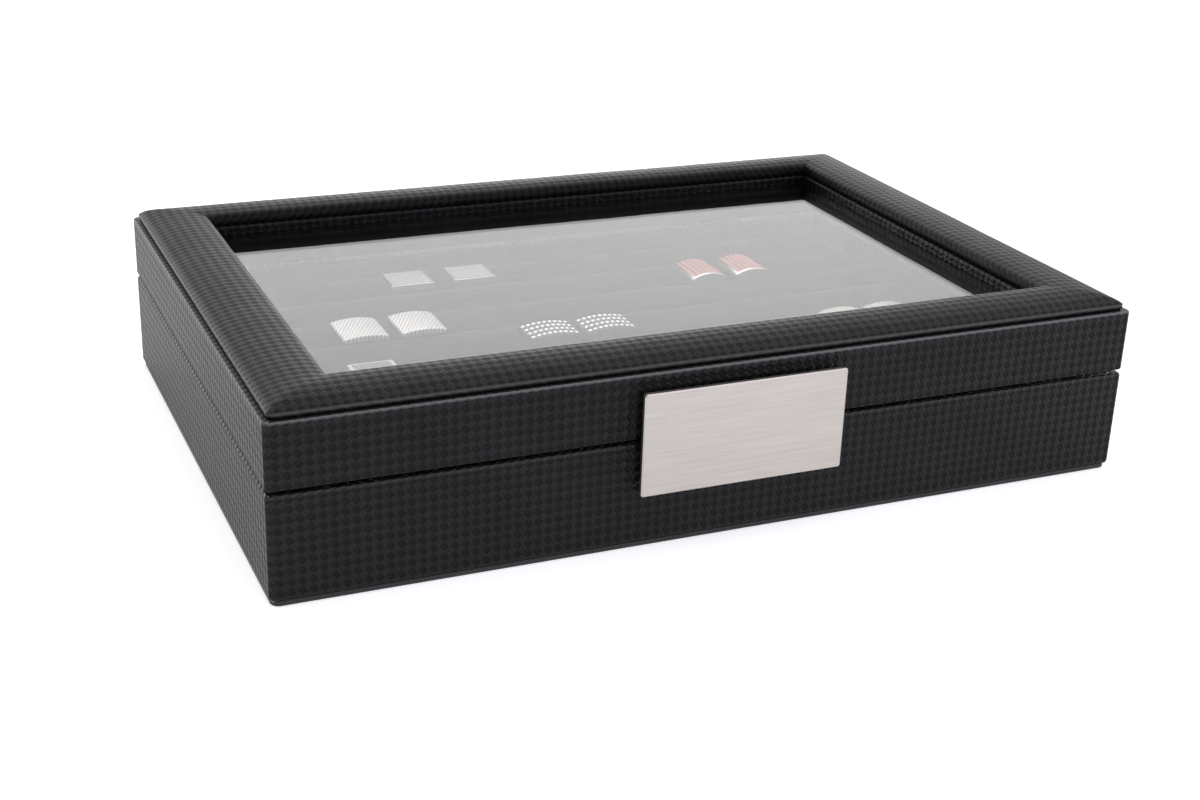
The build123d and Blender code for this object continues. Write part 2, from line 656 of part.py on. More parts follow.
def hinge_leaf(middle_x, up):
    """Plate on a rim with its knuckles and stop tail; up is +1 for the lid's leaf.

    The base's leaf has the two outer knuckles, the lid's leaf the middle one.
    """
    rim = LID_RIM if up > 0 else BASE_HEIGHT
    rim_side = Align.MAX if up > 0 else Align.MIN
    plate_edge = HINGE_Y - BARREL_RADIUS - BARREL_FIT
    left = middle_x - LEAF_LENGTH / 2
    with BuildPart() as leaf:
        with BuildSketch(Plane.XY.offset(rim)):
            with Locations((middle_x, plate_edge)):
                Rectangle(
                    LEAF_LENGTH,
                    plate_edge - (BOX_DEPTH / 2 - LEAF_DEPTH),
                    align=(Align.CENTER, Align.MAX),
                )
        extrude(amount=-up * LEAF)
        if up < 0:
            with BuildSketch(Plane.YZ.offset(left)):
                with BuildLine():
                    Polyline(*tail_outline(up, BARREL_RADIUS + BARREL_FIT), close=True)
                make_face()
            extrude(amount=LEAF_LENGTH)
        for index in ([1] if up > 0 else [0, 2]):
            start_x = left + index * KNUCKLE + (KNUCKLE_GAP if index else 0)
            end_x = left + (index + 1) * KNUCKLE - (KNUCKLE_GAP if index < 2 else 0)
            with BuildSketch(Plane.YZ.offset(start_x)):
                with Locations((HINGE_Y, rim)):
                    Rectangle(HINGE_Y - plate_edge, LEAF, align=(Align.MAX, rim_side))
                with Locations((HINGE_Y, HINGE_Z)):
                    Circle(BARREL_RADIUS)
                with BuildLine():
                    Polyline(*tail_outline(up, PIN_RADIUS), close=True)
                make_face()
                with Locations((HINGE_Y, HINGE_Z)):
                    Circle(PIN_RADIUS + PIN_FIT, mode=Mode.SUBTRACT)
            extrude(amount=end_x - start_x)
        with Locations([(x, y, rim - up * LEAF) for x, y in SCREW_POINTS]):
            add(screw_solid(SCREW_FIT), rotation=(90 + up * 90, 0, 0), mode=Mode.SUBTRACT)
    return leaf


for name, hinge_x in zip(("left", "right"), HINGE_CENTRES):
    save(hinge_leaf(hinge_x, -1), f"{name}_hinge_base_leaf")
    save(hinge_leaf(hinge_x, 1), f"{name}_hinge_lid_leaf")

with BuildPart() as base_hinge_screws:
    with Locations([(x, y, BASE_HEIGHT + LEAF) for x, y in SCREW_POINTS]):
        add(screw_solid(0))
save(base_hinge_screws, "base_hinge_screws")

with BuildPart() as lid_hinge_screws:
    with Locations([(x, y, LID_RIM - LEAF) for x, y in SCREW_POINTS]):
        add(screw_solid(0), rotation=(180, 0, 0))
save(lid_hinge_screws, "lid_hinge_screws")

with BuildPart() as hinge_pins:
    for hinge_x in HINGE_CENTRES:
        with BuildSketch(Plane.YZ.offset(hinge_x)):
            with Locations((HINGE_Y, HINGE_Z)):
                Circle(PIN_RADIUS)
        extrude(amount=LEAF_LENGTH / 2, both=True)
        for end in (-1, 1):
            with BuildSketch(Plane.YZ.offset(hinge_x + end * LEAF_LENGTH / 2)):
                with Locations((HINGE_Y, HINGE_Z)):
                    Circle(PIN_HEAD_RADIUS)
            extrude(amount=end * PIN_HEAD)
    fillet(hinge_pins.edges().filter_by(GeomType.CIRCLE).group_by(SortBy.RADIUS)[-1], PIN_HEAD / 3)
save(hinge_pins, "hinge_pins")

# ====================================================================== name plate
PLATE_BACK = BOX_DEPTH / 2 + PLATE_STAND_OFF

with BuildPart() as name_plate:
    with BuildSketch(Plane.XZ.offset(PLATE_BACK)):
        with Locations((PLATE_SHIFT, HINGE_Z)):
            RectangleRounded(PLATE_LENGTH, PLATE_HEIGHT, PLATE_CORNER)
    extrude(amount=PLATE)
    chamfer(name_plate.faces().sort_by(Axis.Y)[0].edges(), PLATE_BEVEL)
save(name_plate, "name_plate")

with BuildPart() as name_plate_studs:
    with BuildSketch(Plane.XZ.offset(BOX_DEPTH / 2)):
        with Locations(STUD_POINTS):
            Circle(STUD_COLLAR)
    extrude(amount=PLATE_STAND_OFF)
    with BuildSketch(Plane.XZ.offset(BOX_DEPTH / 2)):
        with Locations(STUD_POINTS):
            Circle(STUD_RADIUS)
    extrude(amount=-STUD_DEPTH)
save(name_plate_studs, "name_plate_studs")


# ====================================================================== cufflinks
def arch_height(pair, half):
    """Height of a head's top at half of a width, over the middle of the same top, so 0 or less."""
    if pair.rise == 0:
        return 0.0
    radius = (pair.width ** 2 / 4 + pair.rise ** 2) / (2 * pair.rise)
    return math.sqrt(radius ** 2 - half ** 2) - radius


def arch(pair, x, half, lift):
    """The head's top line between two sides, raised by lift, as a curve of the current sketch."""
    middle = pair.seat + pair.height + lift
    end = middle + arch_height(pair, half)
    if pair.rise == 0:
        Line((x - half, end), (x + half, end))
    else:
        ThreePointArc((x - half, end), (x, middle), (x + half, end))
    return end


def head_pair(pair):
    """Two heads with flat backs and flat or arched tops, with a bed for an inlay if they have one."""
    half = pair.width / 2
    bed = half - pair.rim
    middle_plane = Plane.XZ.offset(-pair.y)
    with BuildPart() as heads:
        for x in pair.centres:
            with BuildSketch(middle_plane):
                with BuildLine():
                    end = arch(pair, x, half, 0)
                    Polyline((x - half, end), (x - half, pair.seat), (x + half, pair.seat), (x + half, end))
                make_face()
            extrude(amount=pair.depth / 2, both=True)
        fillet(heads.edges().filter_by(Axis.Z), HEAD_CORNER)
        if pair.rim:
            for x in pair.centres:
                with BuildSketch(middle_plane):
                    with BuildLine():
                        low = arch(pair, x, bed, -INLAY)
                        over = pair.seat + 2 * pair.height
                        Polyline((x - bed, low), (x - bed, over), (x + bed, over), (x + bed, low))
                    make_face()
                extrude(amount=pair.depth / 2 - pair.rim, both=True, mode=Mode.SUBTRACT)
    return heads


def inlay_pair(pair):
    """Two inlays that lie in the beds and stand a little proud of the metal."""
    half = pair.width / 2 - pair.rim - INLAY_FIT
    with BuildPart() as inlays:
        for x in pair.centres:
            with BuildSketch(Plane.XZ.offset(-pair.y)):
                with BuildLine():
                    low = arch(pair, x, half, INLAY_FIT - INLAY)
                    high = arch(pair, x, half, INLAY_PROUD)
                    Line((x - half, low), (x - half, high))
                    Line((x + half, low), (x + half, high))
                make_face()
            extrude(amount=pair.depth / 2 - pair.rim - INLAY_FIT, both=True)
    return inlays


save(head_pair(PLAIN), "plain_cufflink_heads")
save(head_pair(WEAVE), "weave_cufflink_heads")
save(head_pair(RIBBED), "ribbed_cufflink_heads")
save(head_pair(STUDDED), "studded_cufflink_heads")
save(head_pair(FRAMED), "framed_cufflink_heads")
save(head_pair(BEADED), "beaded_cufflink_heads")
save(inlay_pair(PLAIN), "plain_cufflink_inlays")
save(inlay_pair(WEAVE), "weave_cufflink_inlays")
save(inlay_pair(FRAMED), "framed_cufflink_inlays")

with BuildPart() as cufflink_backs:
    for pair in PAIRS:
        for x in pair.centres:
            add(back_solid(x, pair, 0))
save(cufflink_backs, "cufflink_backs")
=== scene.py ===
"""Looks of the cufflink display box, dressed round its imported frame.

Metres, +Z up, the front of the box faces -Y. Every size that the frame has is read from it.
"""
import math

import bmesh
import bpy
import numpy as np
from mathutils import Matrix, Vector, noise


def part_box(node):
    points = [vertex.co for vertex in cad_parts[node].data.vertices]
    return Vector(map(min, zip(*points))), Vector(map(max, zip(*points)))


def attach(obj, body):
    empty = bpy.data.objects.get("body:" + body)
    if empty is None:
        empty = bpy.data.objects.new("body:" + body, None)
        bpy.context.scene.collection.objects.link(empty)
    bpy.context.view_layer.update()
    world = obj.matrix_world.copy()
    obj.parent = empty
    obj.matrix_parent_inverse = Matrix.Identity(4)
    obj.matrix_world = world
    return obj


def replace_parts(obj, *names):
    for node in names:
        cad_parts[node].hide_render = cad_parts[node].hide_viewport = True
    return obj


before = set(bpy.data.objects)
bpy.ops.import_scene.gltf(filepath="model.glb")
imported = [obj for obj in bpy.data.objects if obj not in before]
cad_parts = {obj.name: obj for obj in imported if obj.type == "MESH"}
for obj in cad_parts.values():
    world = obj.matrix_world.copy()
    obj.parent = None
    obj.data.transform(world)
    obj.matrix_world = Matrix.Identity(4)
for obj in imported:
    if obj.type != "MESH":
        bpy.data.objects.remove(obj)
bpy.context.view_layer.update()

MM = 0.001

# ------------------------------------------------------------------ leather and suede
CHECK_PERIOD = 3.4 * MM        # from one raised diamond to the next
LEATHER = 0.8 * MM
CORNER_RADIUS = 2.0 * MM       # upright corners of both leathers
BASE_EDGE_RADIUS = 1.0 * MM
LID_EDGE_RADIUS = 0.7 * MM
HEM_RADIUS = 0.6 * MM
HEM_GAP = 0.45 * MM            # the base's leather ends this far over the bottom cover
WINDOW_EDGE_RADIUS = 0.7 * MM
WINDOW_CORNER_RADIUS = 0.3 * MM

# ------------------------------------------------------------------ padded frame
FRAME_OUTER_EDGE = 1.9 * MM    # height of the widest line on the box's side
FRAME_INNER_EDGE = 3.6 * MM    # height of the widest line on the window's side
FRAME_LEAN = 0.2               # share of the width by which the outer side leans in
FRAME_TUCK = 0.04              # share of the width that turns under at each edge
FRAME_CORNER_RADIUS = 1.6 * MM
PANEL_REVEAL = 1.0 * MM        # the lid's leather shows this far inside the padded frame

# ------------------------------------------------------------------ cufflinks
WEAVE_STRAND = 4.0 * MM        # from one strand of the woven inlay to the next
PLAIN_RIM, WEAVE_RIM, FRAMED_RIM = 1.0 * MM, 1.3 * MM, 1.4 * MM
HEAD_CORNER, INLAY_CORNER = 0.5 * MM, 0.3 * MM
BED_DEPTH = 0.6 * MM           # an inlay's bed under the head's rim
BED_WALL = 0.02 * MM           # width of the step between rim and bed

# ------------------------------------------------------------------ camera, for a frame of 1200 x 800 pixels
CAMERA_PLACE = (-255.45 * MM, -571.13 * MM, 265.86 * MM)
CAMERA_AZIMUTH, CAMERA_ELEVATION, CAMERA_ROLL = -23.979, 22.625, 2.019
CAMERA_LENS, CAMERA_SENSOR = 54.109, 36.0


def node_span(name):
    """Lowest and highest corner of a CAD node as two arrays."""
    low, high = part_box(name)
    return np.array(low), np.array(high)


BASE_LOW, BASE_HIGH = node_span("base_leather_wrap")
LID_LOW, LID_HIGH = node_span("lid_leather_wrap")
PAD_LOW, PAD_HIGH = node_span("padded_frame_cover")
HALF_LENGTH, HALF_DEPTH = BASE_HIGH[0], BASE_HIGH[1]
PANEL_BOTTOM = node_span("lid_top_panel")[0][2]


# ====================================================================== materials
class Shader:
    """One material and short calls that add nodes to it."""

    def __init__(self, name):
        self.material = bpy.data.materials.new(name)
        self.material.use_nodes = True
        self.tree = self.material.node_tree
        self.surface = self.tree.nodes["Principled BSDF"]

    def node(self, kind, inputs=(), **settings):
        """A node with its settings, and its inputs set or linked in order; None leaves one alone."""
        made = self.tree.nodes.new(kind)
        for name, value in settings.items():
            setattr(made, name, value)
        for socket, value in zip(made.inputs, inputs):
            self.put(socket, value)
        return made

    def put(self, socket, value):
        """Links a socket, or sets its value; None leaves it alone."""
        if isinstance(value, bpy.types.NodeSocket):
            self.tree.links.new(value, socket)
        elif value is not None:
            socket.default_value = value

    def math(self, operation, *values):
        return self.node("ShaderNodeMath", values, operation=operation).outputs[0]

    def vector(self, operation, *values):
        return self.node("ShaderNodeVectorMath", values, operation=operation).outputs[0]

    def stretch(self, vector, scale):
        return self.vector("MULTIPLY", vector, scale)

    def noise(self, vector, scale, detail=2.0, roughness=0.5):
        made = self.node("ShaderNodeTexNoise")
        self.put(made.inputs["Vector"], vector)
        self.put(made.inputs["Scale"], scale)
        self.put(made.inputs["Detail"], detail)
        self.put(made.inputs["Roughness"], roughness)
        return made.outputs["Fac"]

    def layer(self, name):
        """The first value of a layer of pairs on the mesh."""
        pair = self.node("ShaderNodeUVMap", uv_map=name).outputs["UV"]
        return self.node("ShaderNodeSeparateXYZ", (pair,)).outputs[0]

    def remap(self, value, low, high, to_low=0.0, to_high=1.0, kind="SMOOTHSTEP"):
        made = self.node("ShaderNodeMapRange", (value, low, high, to_low, to_high), interpolation_type=kind)
        return made.outputs[0]

    def blend(self, factor, first, second):
        """A colour between two colours."""
        made = self.node("ShaderNodeMix", data_type="RGBA")
        self.put(made.inputs["Factor"], factor)
        self.put(made.inputs[6], first)
        self.put(made.inputs[7], second)
        return made.outputs[2]

    def bump(self, height, distance, strength=1.0, normal=None):
        made = self.node("ShaderNodeBump")
        self.put(made.inputs["Height"], height)
        self.put(made.inputs["Distance"], distance)
        self.put(made.inputs["Strength"], strength)
        self.put(made.inputs["Normal"], normal)
        return made.outputs["Normal"]

    def place(self):
        """The point's own place on the piece, in metres."""
        return self.node("ShaderNodeTexCoord").outputs["Object"]

    def set(self, **values):
        """Sets or links the surface's sockets, named with _ for a space."""
        for name, value in values.items():
            socket = self.surface.inputs[name.replace("_", " ")]
            self.put(socket, value)
        return self


def grey(value, warm=0.0):
    """A near-neutral colour, a little warm over 0 or cool under 0."""
    return (value * (1 + warm), value, value * (1 - warm), 1)


def darker(colour, share):
    return tuple(c * share for c in colour[:3]) + (1,)


def embossed_leather(name, light, dark, relief, roughness, specular):
    """Black leatherette embossed with a check of diamonds, on the sheet's own flat coordinates.

    The layer named bend tells where the sheet is folded over an edge, which polishes it.
    """
    s = Shader(name)
    sheet = s.node("ShaderNodeUVMap", uv_map="sheet").outputs["UV"]
    across = s.node("ShaderNodeSeparateXYZ", (sheet,))
    bend = s.layer("bend")
    turns = 2 * math.pi / CHECK_PERIOD
    waves = [s.math("COSINE", s.math("MULTIPLY", across.outputs[axis], turns)) for axis in (0, 1)]
    check = s.math("ADD", *waves)
    # raised also picks the colour: the sunken diamonds are painted darker, partly the leather's pattern,
    # partly painted shade in the pits
    raised = s.remap(check, -0.55, 0.35)
    grain = s.noise(sheet, 2600, 3)
    patches = s.noise(sheet, 45, 3)
    tone = s.math("MULTIPLY", s.remap(patches, 0.3, 0.7, 0.85, 1.15), s.remap(grain, 0.3, 0.7, 0.85, 1.15))
    colour = s.node("ShaderNodeVectorMath", (s.blend(raised, dark, light),), operation="SCALE")
    s.put(colour.inputs["Scale"], tone)
    flattened = s.remap(bend, 0.0, 1.0, 1.0, 0.2, "LINEAR")
    normal = s.bump(s.remap(check, -0.8, 0.8), relief, flattened, s.bump(grain, 0.02 * MM))
    check_shine = s.remap(raised, 0, 1, roughness + 0.08, roughness - 0.02)
    shine = s.math("ADD", check_shine, s.remap(grain, 0, 1, -0.06, 0.06))
    s.set(Base_Color=colour.outputs[0], Normal=normal,
          Roughness=s.math("SUBTRACT", shine, s.math("MULTIPLY", bend, 0.16)),
          Specular_IOR_Level=s.remap(bend, 0.0, 1.0, specular, 1.0, "LINEAR"))
    return s.material


def fine_leather(name, colour, roughness):
    """Plain leatherette with a fine grain."""
    s = Shader(name)
    place = s.place()
    grain = s.noise(place, 1400, 4)
    tone = s.blend(s.remap(s.noise(place, 60, 3), 0.3, 0.7), colour, grey(colour[1] * 1.4))
    s.set(Base_Color=tone, Roughness=s.remap(grain, 0.3, 0.7, roughness - 0.08, roughness + 0.08),
          Specular_IOR_Level=0.3, Normal=s.bump(grain, 0.06 * MM))
    return s.material


def suede(name, colour):
    """Short-napped velour: matt, with the nap brushed a little here and there."""
    s = Shader(name)
    place = s.place()
    fibre = s.noise(s.stretch(place, (1.0, 1.6, 1.6)), 2800, 4, 0.7)
    brushed = s.noise(s.stretch(place, (1.0, 2.2, 1.5)), 55, 4, 0.6)
    fuzz = s.math("ADD", s.remap(brushed, 0.35, 0.65, 0.9, 1.1), s.remap(fibre, 0.3, 0.7, -0.08, 0.08))
    tone = s.vector("SCALE", colour[:3])
    s.put(tone.node.inputs["Scale"], fuzz)
    normal = s.bump(fibre, 0.04 * MM, 0.7, s.bump(brushed, 0.15 * MM, 0.5))
    s.set(Base_Color=tone, Roughness=0.95, Specular_IOR_Level=0.12, Sheen_Weight=0.22, Sheen_Roughness=0.45,
          Normal=normal)
    return s.material


def brushed_metal(name, colour, roughness, along=(14.0, 900.0, 900.0)):
    """Metal with fine parallel scratches; along stretches them, with the small number in their direction."""
    s = Shader(name)
    place = s.place()
    lines = s.noise(s.stretch(place, along), 3.0, 5, 0.65)
    cloud = s.noise(place, 40, 3)
    tone = s.blend(s.remap(lines, 0.25, 0.75), colour, darker(colour, 0.86))
    scratched = s.remap(lines, 0.2, 0.8, roughness - 0.05, roughness + 0.07)
    rough = s.math("ADD", scratched, s.remap(cloud, 0.3, 0.7, -0.03, 0.03))
    s.set(Base_Color=tone, Metallic=1.0, Roughness=rough, Normal=s.bump(lines, 0.012 * MM))
    return s.material


def bright_metal(name, colour, roughness):
    """Polished or plated metal with faint wear."""
    s = Shader(name)
    place = s.place()
    wear = s.noise(place, 900, 4, 0.6)
    s.set(Base_Color=s.blend(s.remap(wear, 0.35, 0.75), colour, darker(colour, 0.88)),
          Metallic=1.0, Roughness=s.remap(wear, 0.3, 0.7, roughness * 0.8, roughness * 1.3),
          Normal=s.bump(wear, 0.004 * MM))
    return s.material


def fibre_board(name, colour, scale=900):
    """Pressed fibre or card: matt, with short fibres."""
    s = Shader(name)
    place = s.place()
    fibres = s.noise(s.stretch(place, (1.0, 1.0, 2.5)), scale, 5, 0.7)
    s.set(Base_Color=s.blend(s.remap(fibres, 0.3, 0.7), colour, darker(colour, 0.6)),
          Roughness=0.9, Specular_IOR_Level=0.2, Normal=s.bump(fibres, 0.08 * MM))
    return s.material


def relief_metal(name, high, low, side, high_roughness, low_roughness):
    """Metal whose raised parts, ground and sides differ, with painted shade on the darker ground and sides;
    the layer named relief tells them apart.
    """
    s = Shader(name)
    relief = s.layer("relief")
    wear = s.noise(s.place(), 1500, 4, 0.6)
    share = s.remap(relief, 0.15, 0.6)
    # The ground colour is painted shade in the hollows; wear noise also pulls the colour towards it
    worn_and_shaded = s.blend(s.remap(wear, 0.35, 0.75, 0.0, 0.25), s.blend(share, low, high), low)
    # The sides' own darker colour is painted shade on the sides
    s.set(Base_Color=s.blend(s.remap(relief, -0.9, -0.1), side, worn_and_shaded), Metallic=1.0,
          Roughness=s.remap(share, 0, 1, low_roughness, high_roughness), Normal=s.bump(wear, 0.01 * MM))
    return s.material


def clear_glass(name):
    """Clear window glass, a trace green."""
    s = Shader(name)
    s.set(Base_Color=(0.985, 0.995, 0.99, 1), Transmission_Weight=1.0, Roughness=0.0, IOR=1.5)
    return s.material


def soft_plastic(name):
    """Cloudy, nearly clear rubber."""
    s = Shader(name)
    cloud = s.noise(s.place(), 500, 3)
    s.set(Base_Color=s.blend(cloud, (0.75, 0.76, 0.74, 1), (0.6, 0.61, 0.6, 1)), Roughness=0.35,
          Transmission_Weight=0.55, IOR=1.45)
    return s.material


def woven_inlay(name):
    """Pink and red strands that cross diagonally."""
    s = Shader(name)
    place = s.place()
    apart = s.node("ShaderNodeSeparateXYZ", (place,))
    strand = 2 * math.pi / WEAVE_STRAND
    waves = []
    for operation in ("ADD", "SUBTRACT"):
        diagonal = s.math(operation, apart.outputs[0], apart.outputs[1])
        waves.append(s.math("SINE", s.math("MULTIPLY", diagonal, strand)))
    weave = s.remap(s.math("MULTIPLY", *waves), -0.35, 0.35)
    fibre = s.noise(place, 2500, 3)
    colour = s.blend(weave, (0.22, 0.012, 0.010, 1), (0.80, 0.30, 0.26, 1))
    fluff = s.remap(fibre, 0.3, 0.8, 0.0, 0.25)
    s.set(Base_Color=s.blend(fluff, colour, (0.75, 0.5, 0.45, 1)), Roughness=0.5,
          Specular_IOR_Level=0.3, Normal=s.bump(weave, 0.15 * MM))
    return s.material


# Colours of the raised diamonds; the sunken ones get a darker grey, partly pattern and partly painted shade
# in the pits
WALL_DIAMONDS = (0.0090, 0.0082, 0.0097, 1)
PADDED_DIAMONDS = (0.0150, 0.0142, 0.0140, 1)
# The low colours are painted shade in the grooves and between the beads
RIB_HIGH, RIB_GROOVE_SHADE = (0.92, 0.89, 0.87, 1), (0.50, 0.48, 0.47, 1)
BEAD_HIGH, BEAD_GROUND_SHADE = (0.70, 0.66, 0.61, 1), (0.25, 0.235, 0.22, 1)

MATERIALS = {
    # The second colour of each check is its sunken diamonds: partly pattern, partly painted shade in the pits
    "check": embossed_leather("check_leatherette", WALL_DIAMONDS, grey(0.003), 0.40 * MM, 0.40, 0.135),
    "soft check": embossed_leather(
        "padded_leatherette", PADDED_DIAMONDS, grey(0.004), 0.09 * MM, 0.44, 0.105),
    "fine": fine_leather("fine_leatherette", grey(0.016), 0.45),
    "suede": suede("charcoal_suede", grey(0.024, -0.04)),
    "plate": brushed_metal("brushed_plate", (0.47, 0.437, 0.41, 1), 0.33),
    "silver": bright_metal("silver_plating", (0.86, 0.84, 0.81, 1), 0.16),
    "satin silver": bright_metal("satin_silver", (0.62, 0.60, 0.59, 1), 0.42),
    "hinge": bright_metal("nickel_plating", (0.66, 0.64, 0.60, 1), 0.28),
    "magnet": bright_metal("magnet_plating", (0.60, 0.60, 0.61, 1), 0.22),
    # The grey sides of these heads are painted shade
    "ribbed": relief_metal("ribbed_metal", RIB_HIGH, RIB_GROOVE_SHADE, grey(0.14), 0.50, 0.6),
    # The studded ground's near black is a painted dark reflection
    "studded": relief_metal("studded_metal", (0.95, 0.92, 0.90, 1), grey(0.05), grey(0.10), 0.18, 0.5),
    "beaded": relief_metal("beaded_metal", BEAD_HIGH, BEAD_GROUND_SHADE, grey(0.12), 0.45, 0.6),
    "satin": fibre_board("satin_inlay", (0.66, 0.69, 0.64, 1), 1500),
    "dark": bright_metal("dark_inlay", (0.10, 0.10, 0.105, 1), 0.25),
    "weave": woven_inlay("woven_inlay"),
    "board": fibre_board("fibre_board", (0.30, 0.21, 0.13, 1)),
    "black board": fibre_board("black_board", grey(0.012)),
    "card": fibre_board("grey_card", (0.34, 0.32, 0.29, 1), 1500),
    "foam": fibre_board("foam", (0.55, 0.52, 0.42, 1), 2500),
    "glass": clear_glass("window_glass"),
    "rubber": soft_plastic("clear_rubber"),
}


# The first part of a name that a CAD node's name holds gives its material.
FINISHES = [
    ("tray_board", "card"), ("hinge", "hinge"), ("board", "board"), ("lid_top_panel", "black board"),
    ("_panel", "board"), ("card", "card"), ("foam", "foam"),
    ("lining", "suede"), ("bead_", "suede"), ("roll", "suede"), ("glass_pane", "glass"),
    ("bottom_cover", "fine"), ("magnets", "magnet"), ("discs", "magnet"), ("bumpers", "rubber"),
    ("name_plate", "plate"), ("plain_cufflink_inlays", "satin"), ("weave_cufflink_inlays", "weave"),
    ("framed_cufflink_inlays", "dark"), ("cufflink", "silver"), ("cover", "fine"), ("wrap", "fine"),
]

for node_name, node_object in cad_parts.items():
    finish = next(finish for part, finish in FINISHES if part in node_name)
    node_object.data.materials.clear()
    node_object.data.materials.append(MATERIALS[finish])


# ====================================================================== meshes in general
def new_piece(name, points, faces, finish, **layers):
    """A smooth mesh; each layer holds a pair of values for every face corner."""
    mesh = bpy.data.meshes.new(name)
    mesh.from_pydata([tuple(p) for p in points], [], [tuple(f) for f in faces])
    for layer, values in layers.items():
        mesh.uv_layers.new(name=layer).data.foreach_set("uv", np.asarray(values, np.float32).ravel())
    mesh.polygons.foreach_set("use_smooth", [True] * len(mesh.polygons))
    mesh.materials.append(MATERIALS[finish])
    piece = bpy.data.objects.new(name, mesh)
    bpy.context.scene.collection.objects.link(piece)
    return piece


def even_shading(piece):
    """Keeps flat walls flat beside their rounded edges."""
    weighted = piece.modifiers.new("even_shading", "WEIGHTED_NORMAL")
    weighted.keep_sharp = True
    return piece


def arc(centre, radius, start, end, steps):
    """Points of an arc in (inset, height), from start to end in degrees."""
    angles = np.radians(np.linspace(start, end, steps + 1))
    return [(centre[0] + radius * math.cos(a), centre[1] + radius * math.sin(a)) for a in angles]


# ---------------------------------------------------------------------- rings round the box
SIDE_STEP = 2.5 * MM
CORNER_STEPS = 6


def ring_stations():
    """How a rounded rectangle's points follow its half sizes and its corners' radius.

    Each station is (share of half x, share of half y, radius along x, radius along y), from the middle of
    the back round by the left, with its side and, in a corner, how far round it is.
    """
    stations = []
    corners = [(-1, 1), (-1, -1), (1, -1), (1, 1)]
    halves = [HALF_LENGTH, HALF_DEPTH]
    for side in range(5):
        along = side % 2
        steps = round(halves[along] / SIDE_STEP)
        shares = np.linspace(-1, 1, 2 * steps + 1)
        if side == 0:
            shares = shares[steps:]
        if side == 4:
            shares = shares[:steps]
        direction = [-1, -1, 1, 1][side % 4]
        outward = [1, -1, -1, 1][side % 4]
        for share in shares:
            if along == 0:
                stations.append((direction * share, outward, 0, outward, side, None))
            else:
                stations.append((outward, direction * share, outward, 0, side, None))
        if side < 4:
            cx, cy = corners[side]
            start = [90, 180, 270, 0][side]
            for step in range(1, CORNER_STEPS):
                turn = math.radians(start + 90 * step / CORNER_STEPS)
                stations.append((cx, cy, math.cos(turn), math.sin(turn), side, step / CORNER_STEPS))
    return stations


STATIONS = ring_stations()
SHAPE = np.array([s[:4] for s in STATIONS], float)


def ring(half_x, half_y, radius):
    """Plan points of a rounded rectangle, one for each station."""
    x = (half_x - radius) * SHAPE[:, 0] + radius * SHAPE[:, 2]
    y = (half_y - radius) * SHAPE[:, 1] + radius * SHAPE[:, 3]
    return np.stack([x, y], 1)


def wrapped_along(half_x, half_y, radius):
    """Distance along a band that is wrapped round the box, for each station of a ring on it.

    The middle of each side keeps its place on the band, whatever the ring's size.
    """
    plan = ring(half_x, half_y, radius)
    quarter = HALF_LENGTH + HALF_DEPTH
    along = []
    for (_, _, _, _, side, turn), (x, y) in zip(STATIONS, plan):
        local = [-x, -y, x, y][side % 4]
        if turn is None:
            along.append(side * quarter + local)
            continue
        own, other = (half_x, half_y) if side % 2 == 0 else (half_y, half_x)
        first = side * quarter + own - radius
        last = (side + 1) * quarter - other + radius
        along.append(first + turn * (last - first))
    return np.array(along)


RUBBED_REACH = 4 * MM          # only folds this near the box's sides are rubbed
RUBBED = np.where(SHAPE[:, 3] < -0.5, 1.0, 0.25)     # the front, where it is opened, more than the rest


def bends(rings, polished, reach, polish):
    """How much a closed run of rings is rubbed at each of them.

    It is rubbed where it folds tightly on the outside of the box, less than reach from the height polished.
    """
    places = np.array([(half_x, height) for half_x, _, _, height in rings])
    steps = np.roll(places, -1, 0) - places
    lengths = np.linalg.norm(steps, axis=1)
    heading = np.arctan2(steps[:, 1], steps[:, 0])
    turn = np.abs((heading - np.roll(heading, 1) + math.pi) % (2 * math.pi) - math.pi)
    tightness = LID_EDGE_RADIUS * turn / np.minimum(lengths, np.roll(lengths, 1))
    near = (np.abs(places[:, 1] - polished) < reach) & (places[:, 0] > HALF_LENGTH - RUBBED_REACH)
    return np.where(near, polish, 0.0) * np.clip(1.2 * tightness - 0.2, 0, 1)


def ring_skin(name, rings, finish, sheet_of, polished, reach, polish):
    """A closed skin through rings of (half x, half y, radius, height).

    sheet_of gives each ring's flat coordinates as (stations + 1) pairs, and one ring more at the end.
    polished and reach tell the heights at which the folds are rubbed, and polish how much.
    """
    count = len(STATIONS)
    points = []
    for half_x, half_y, radius, height in rings:
        plan = ring(half_x, half_y, radius)
        points += [(x, y, height) for x, y in plan]
    flat = [sheet_of(row) for row in range(len(rings) + 1)]
    bend = bends(rings, polished, reach, polish)
    faces, sheet, folds = [], [], []
    for row in range(len(rings)):
        upper = (row + 1) % len(rings)
        for i in range(count):
            j = (i + 1) % count
            here, there = RUBBED[i], RUBBED[j]
            faces.append((row * count + i, row * count + j, upper * count + j, upper * count + i))
            sheet += [flat[row][i], flat[row][i + 1], flat[row + 1][i + 1], flat[row + 1][i]]
            folds += [(bend[row] * here, 0), (bend[row] * there, 0)]
            folds += [(bend[upper] * there, 0), (bend[upper] * here, 0)]
    return new_piece(name, points, faces, finish, sheet=sheet, bend=folds)


def with_steps(profile, longest=3 * MM, margin=0.35 * MM):
    """The profile with its long straight runs cut up evenly, and once more close to each end."""
    fine = [profile[0]]
    for before, after in zip(profile, profile[1:]):
        before, after = np.array(before), np.array(after)
        length = np.linalg.norm(after - before)
        shares = np.linspace(0, 1, max(1, math.ceil(length / longest)) + 1)[1:]
        if length > 3 * margin:
            shares = np.unique(np.concatenate([shares, [margin / length, 1 - margin / length]]))
        fine += [tuple(before + (after - before) * share) for share in shares]
    return fine


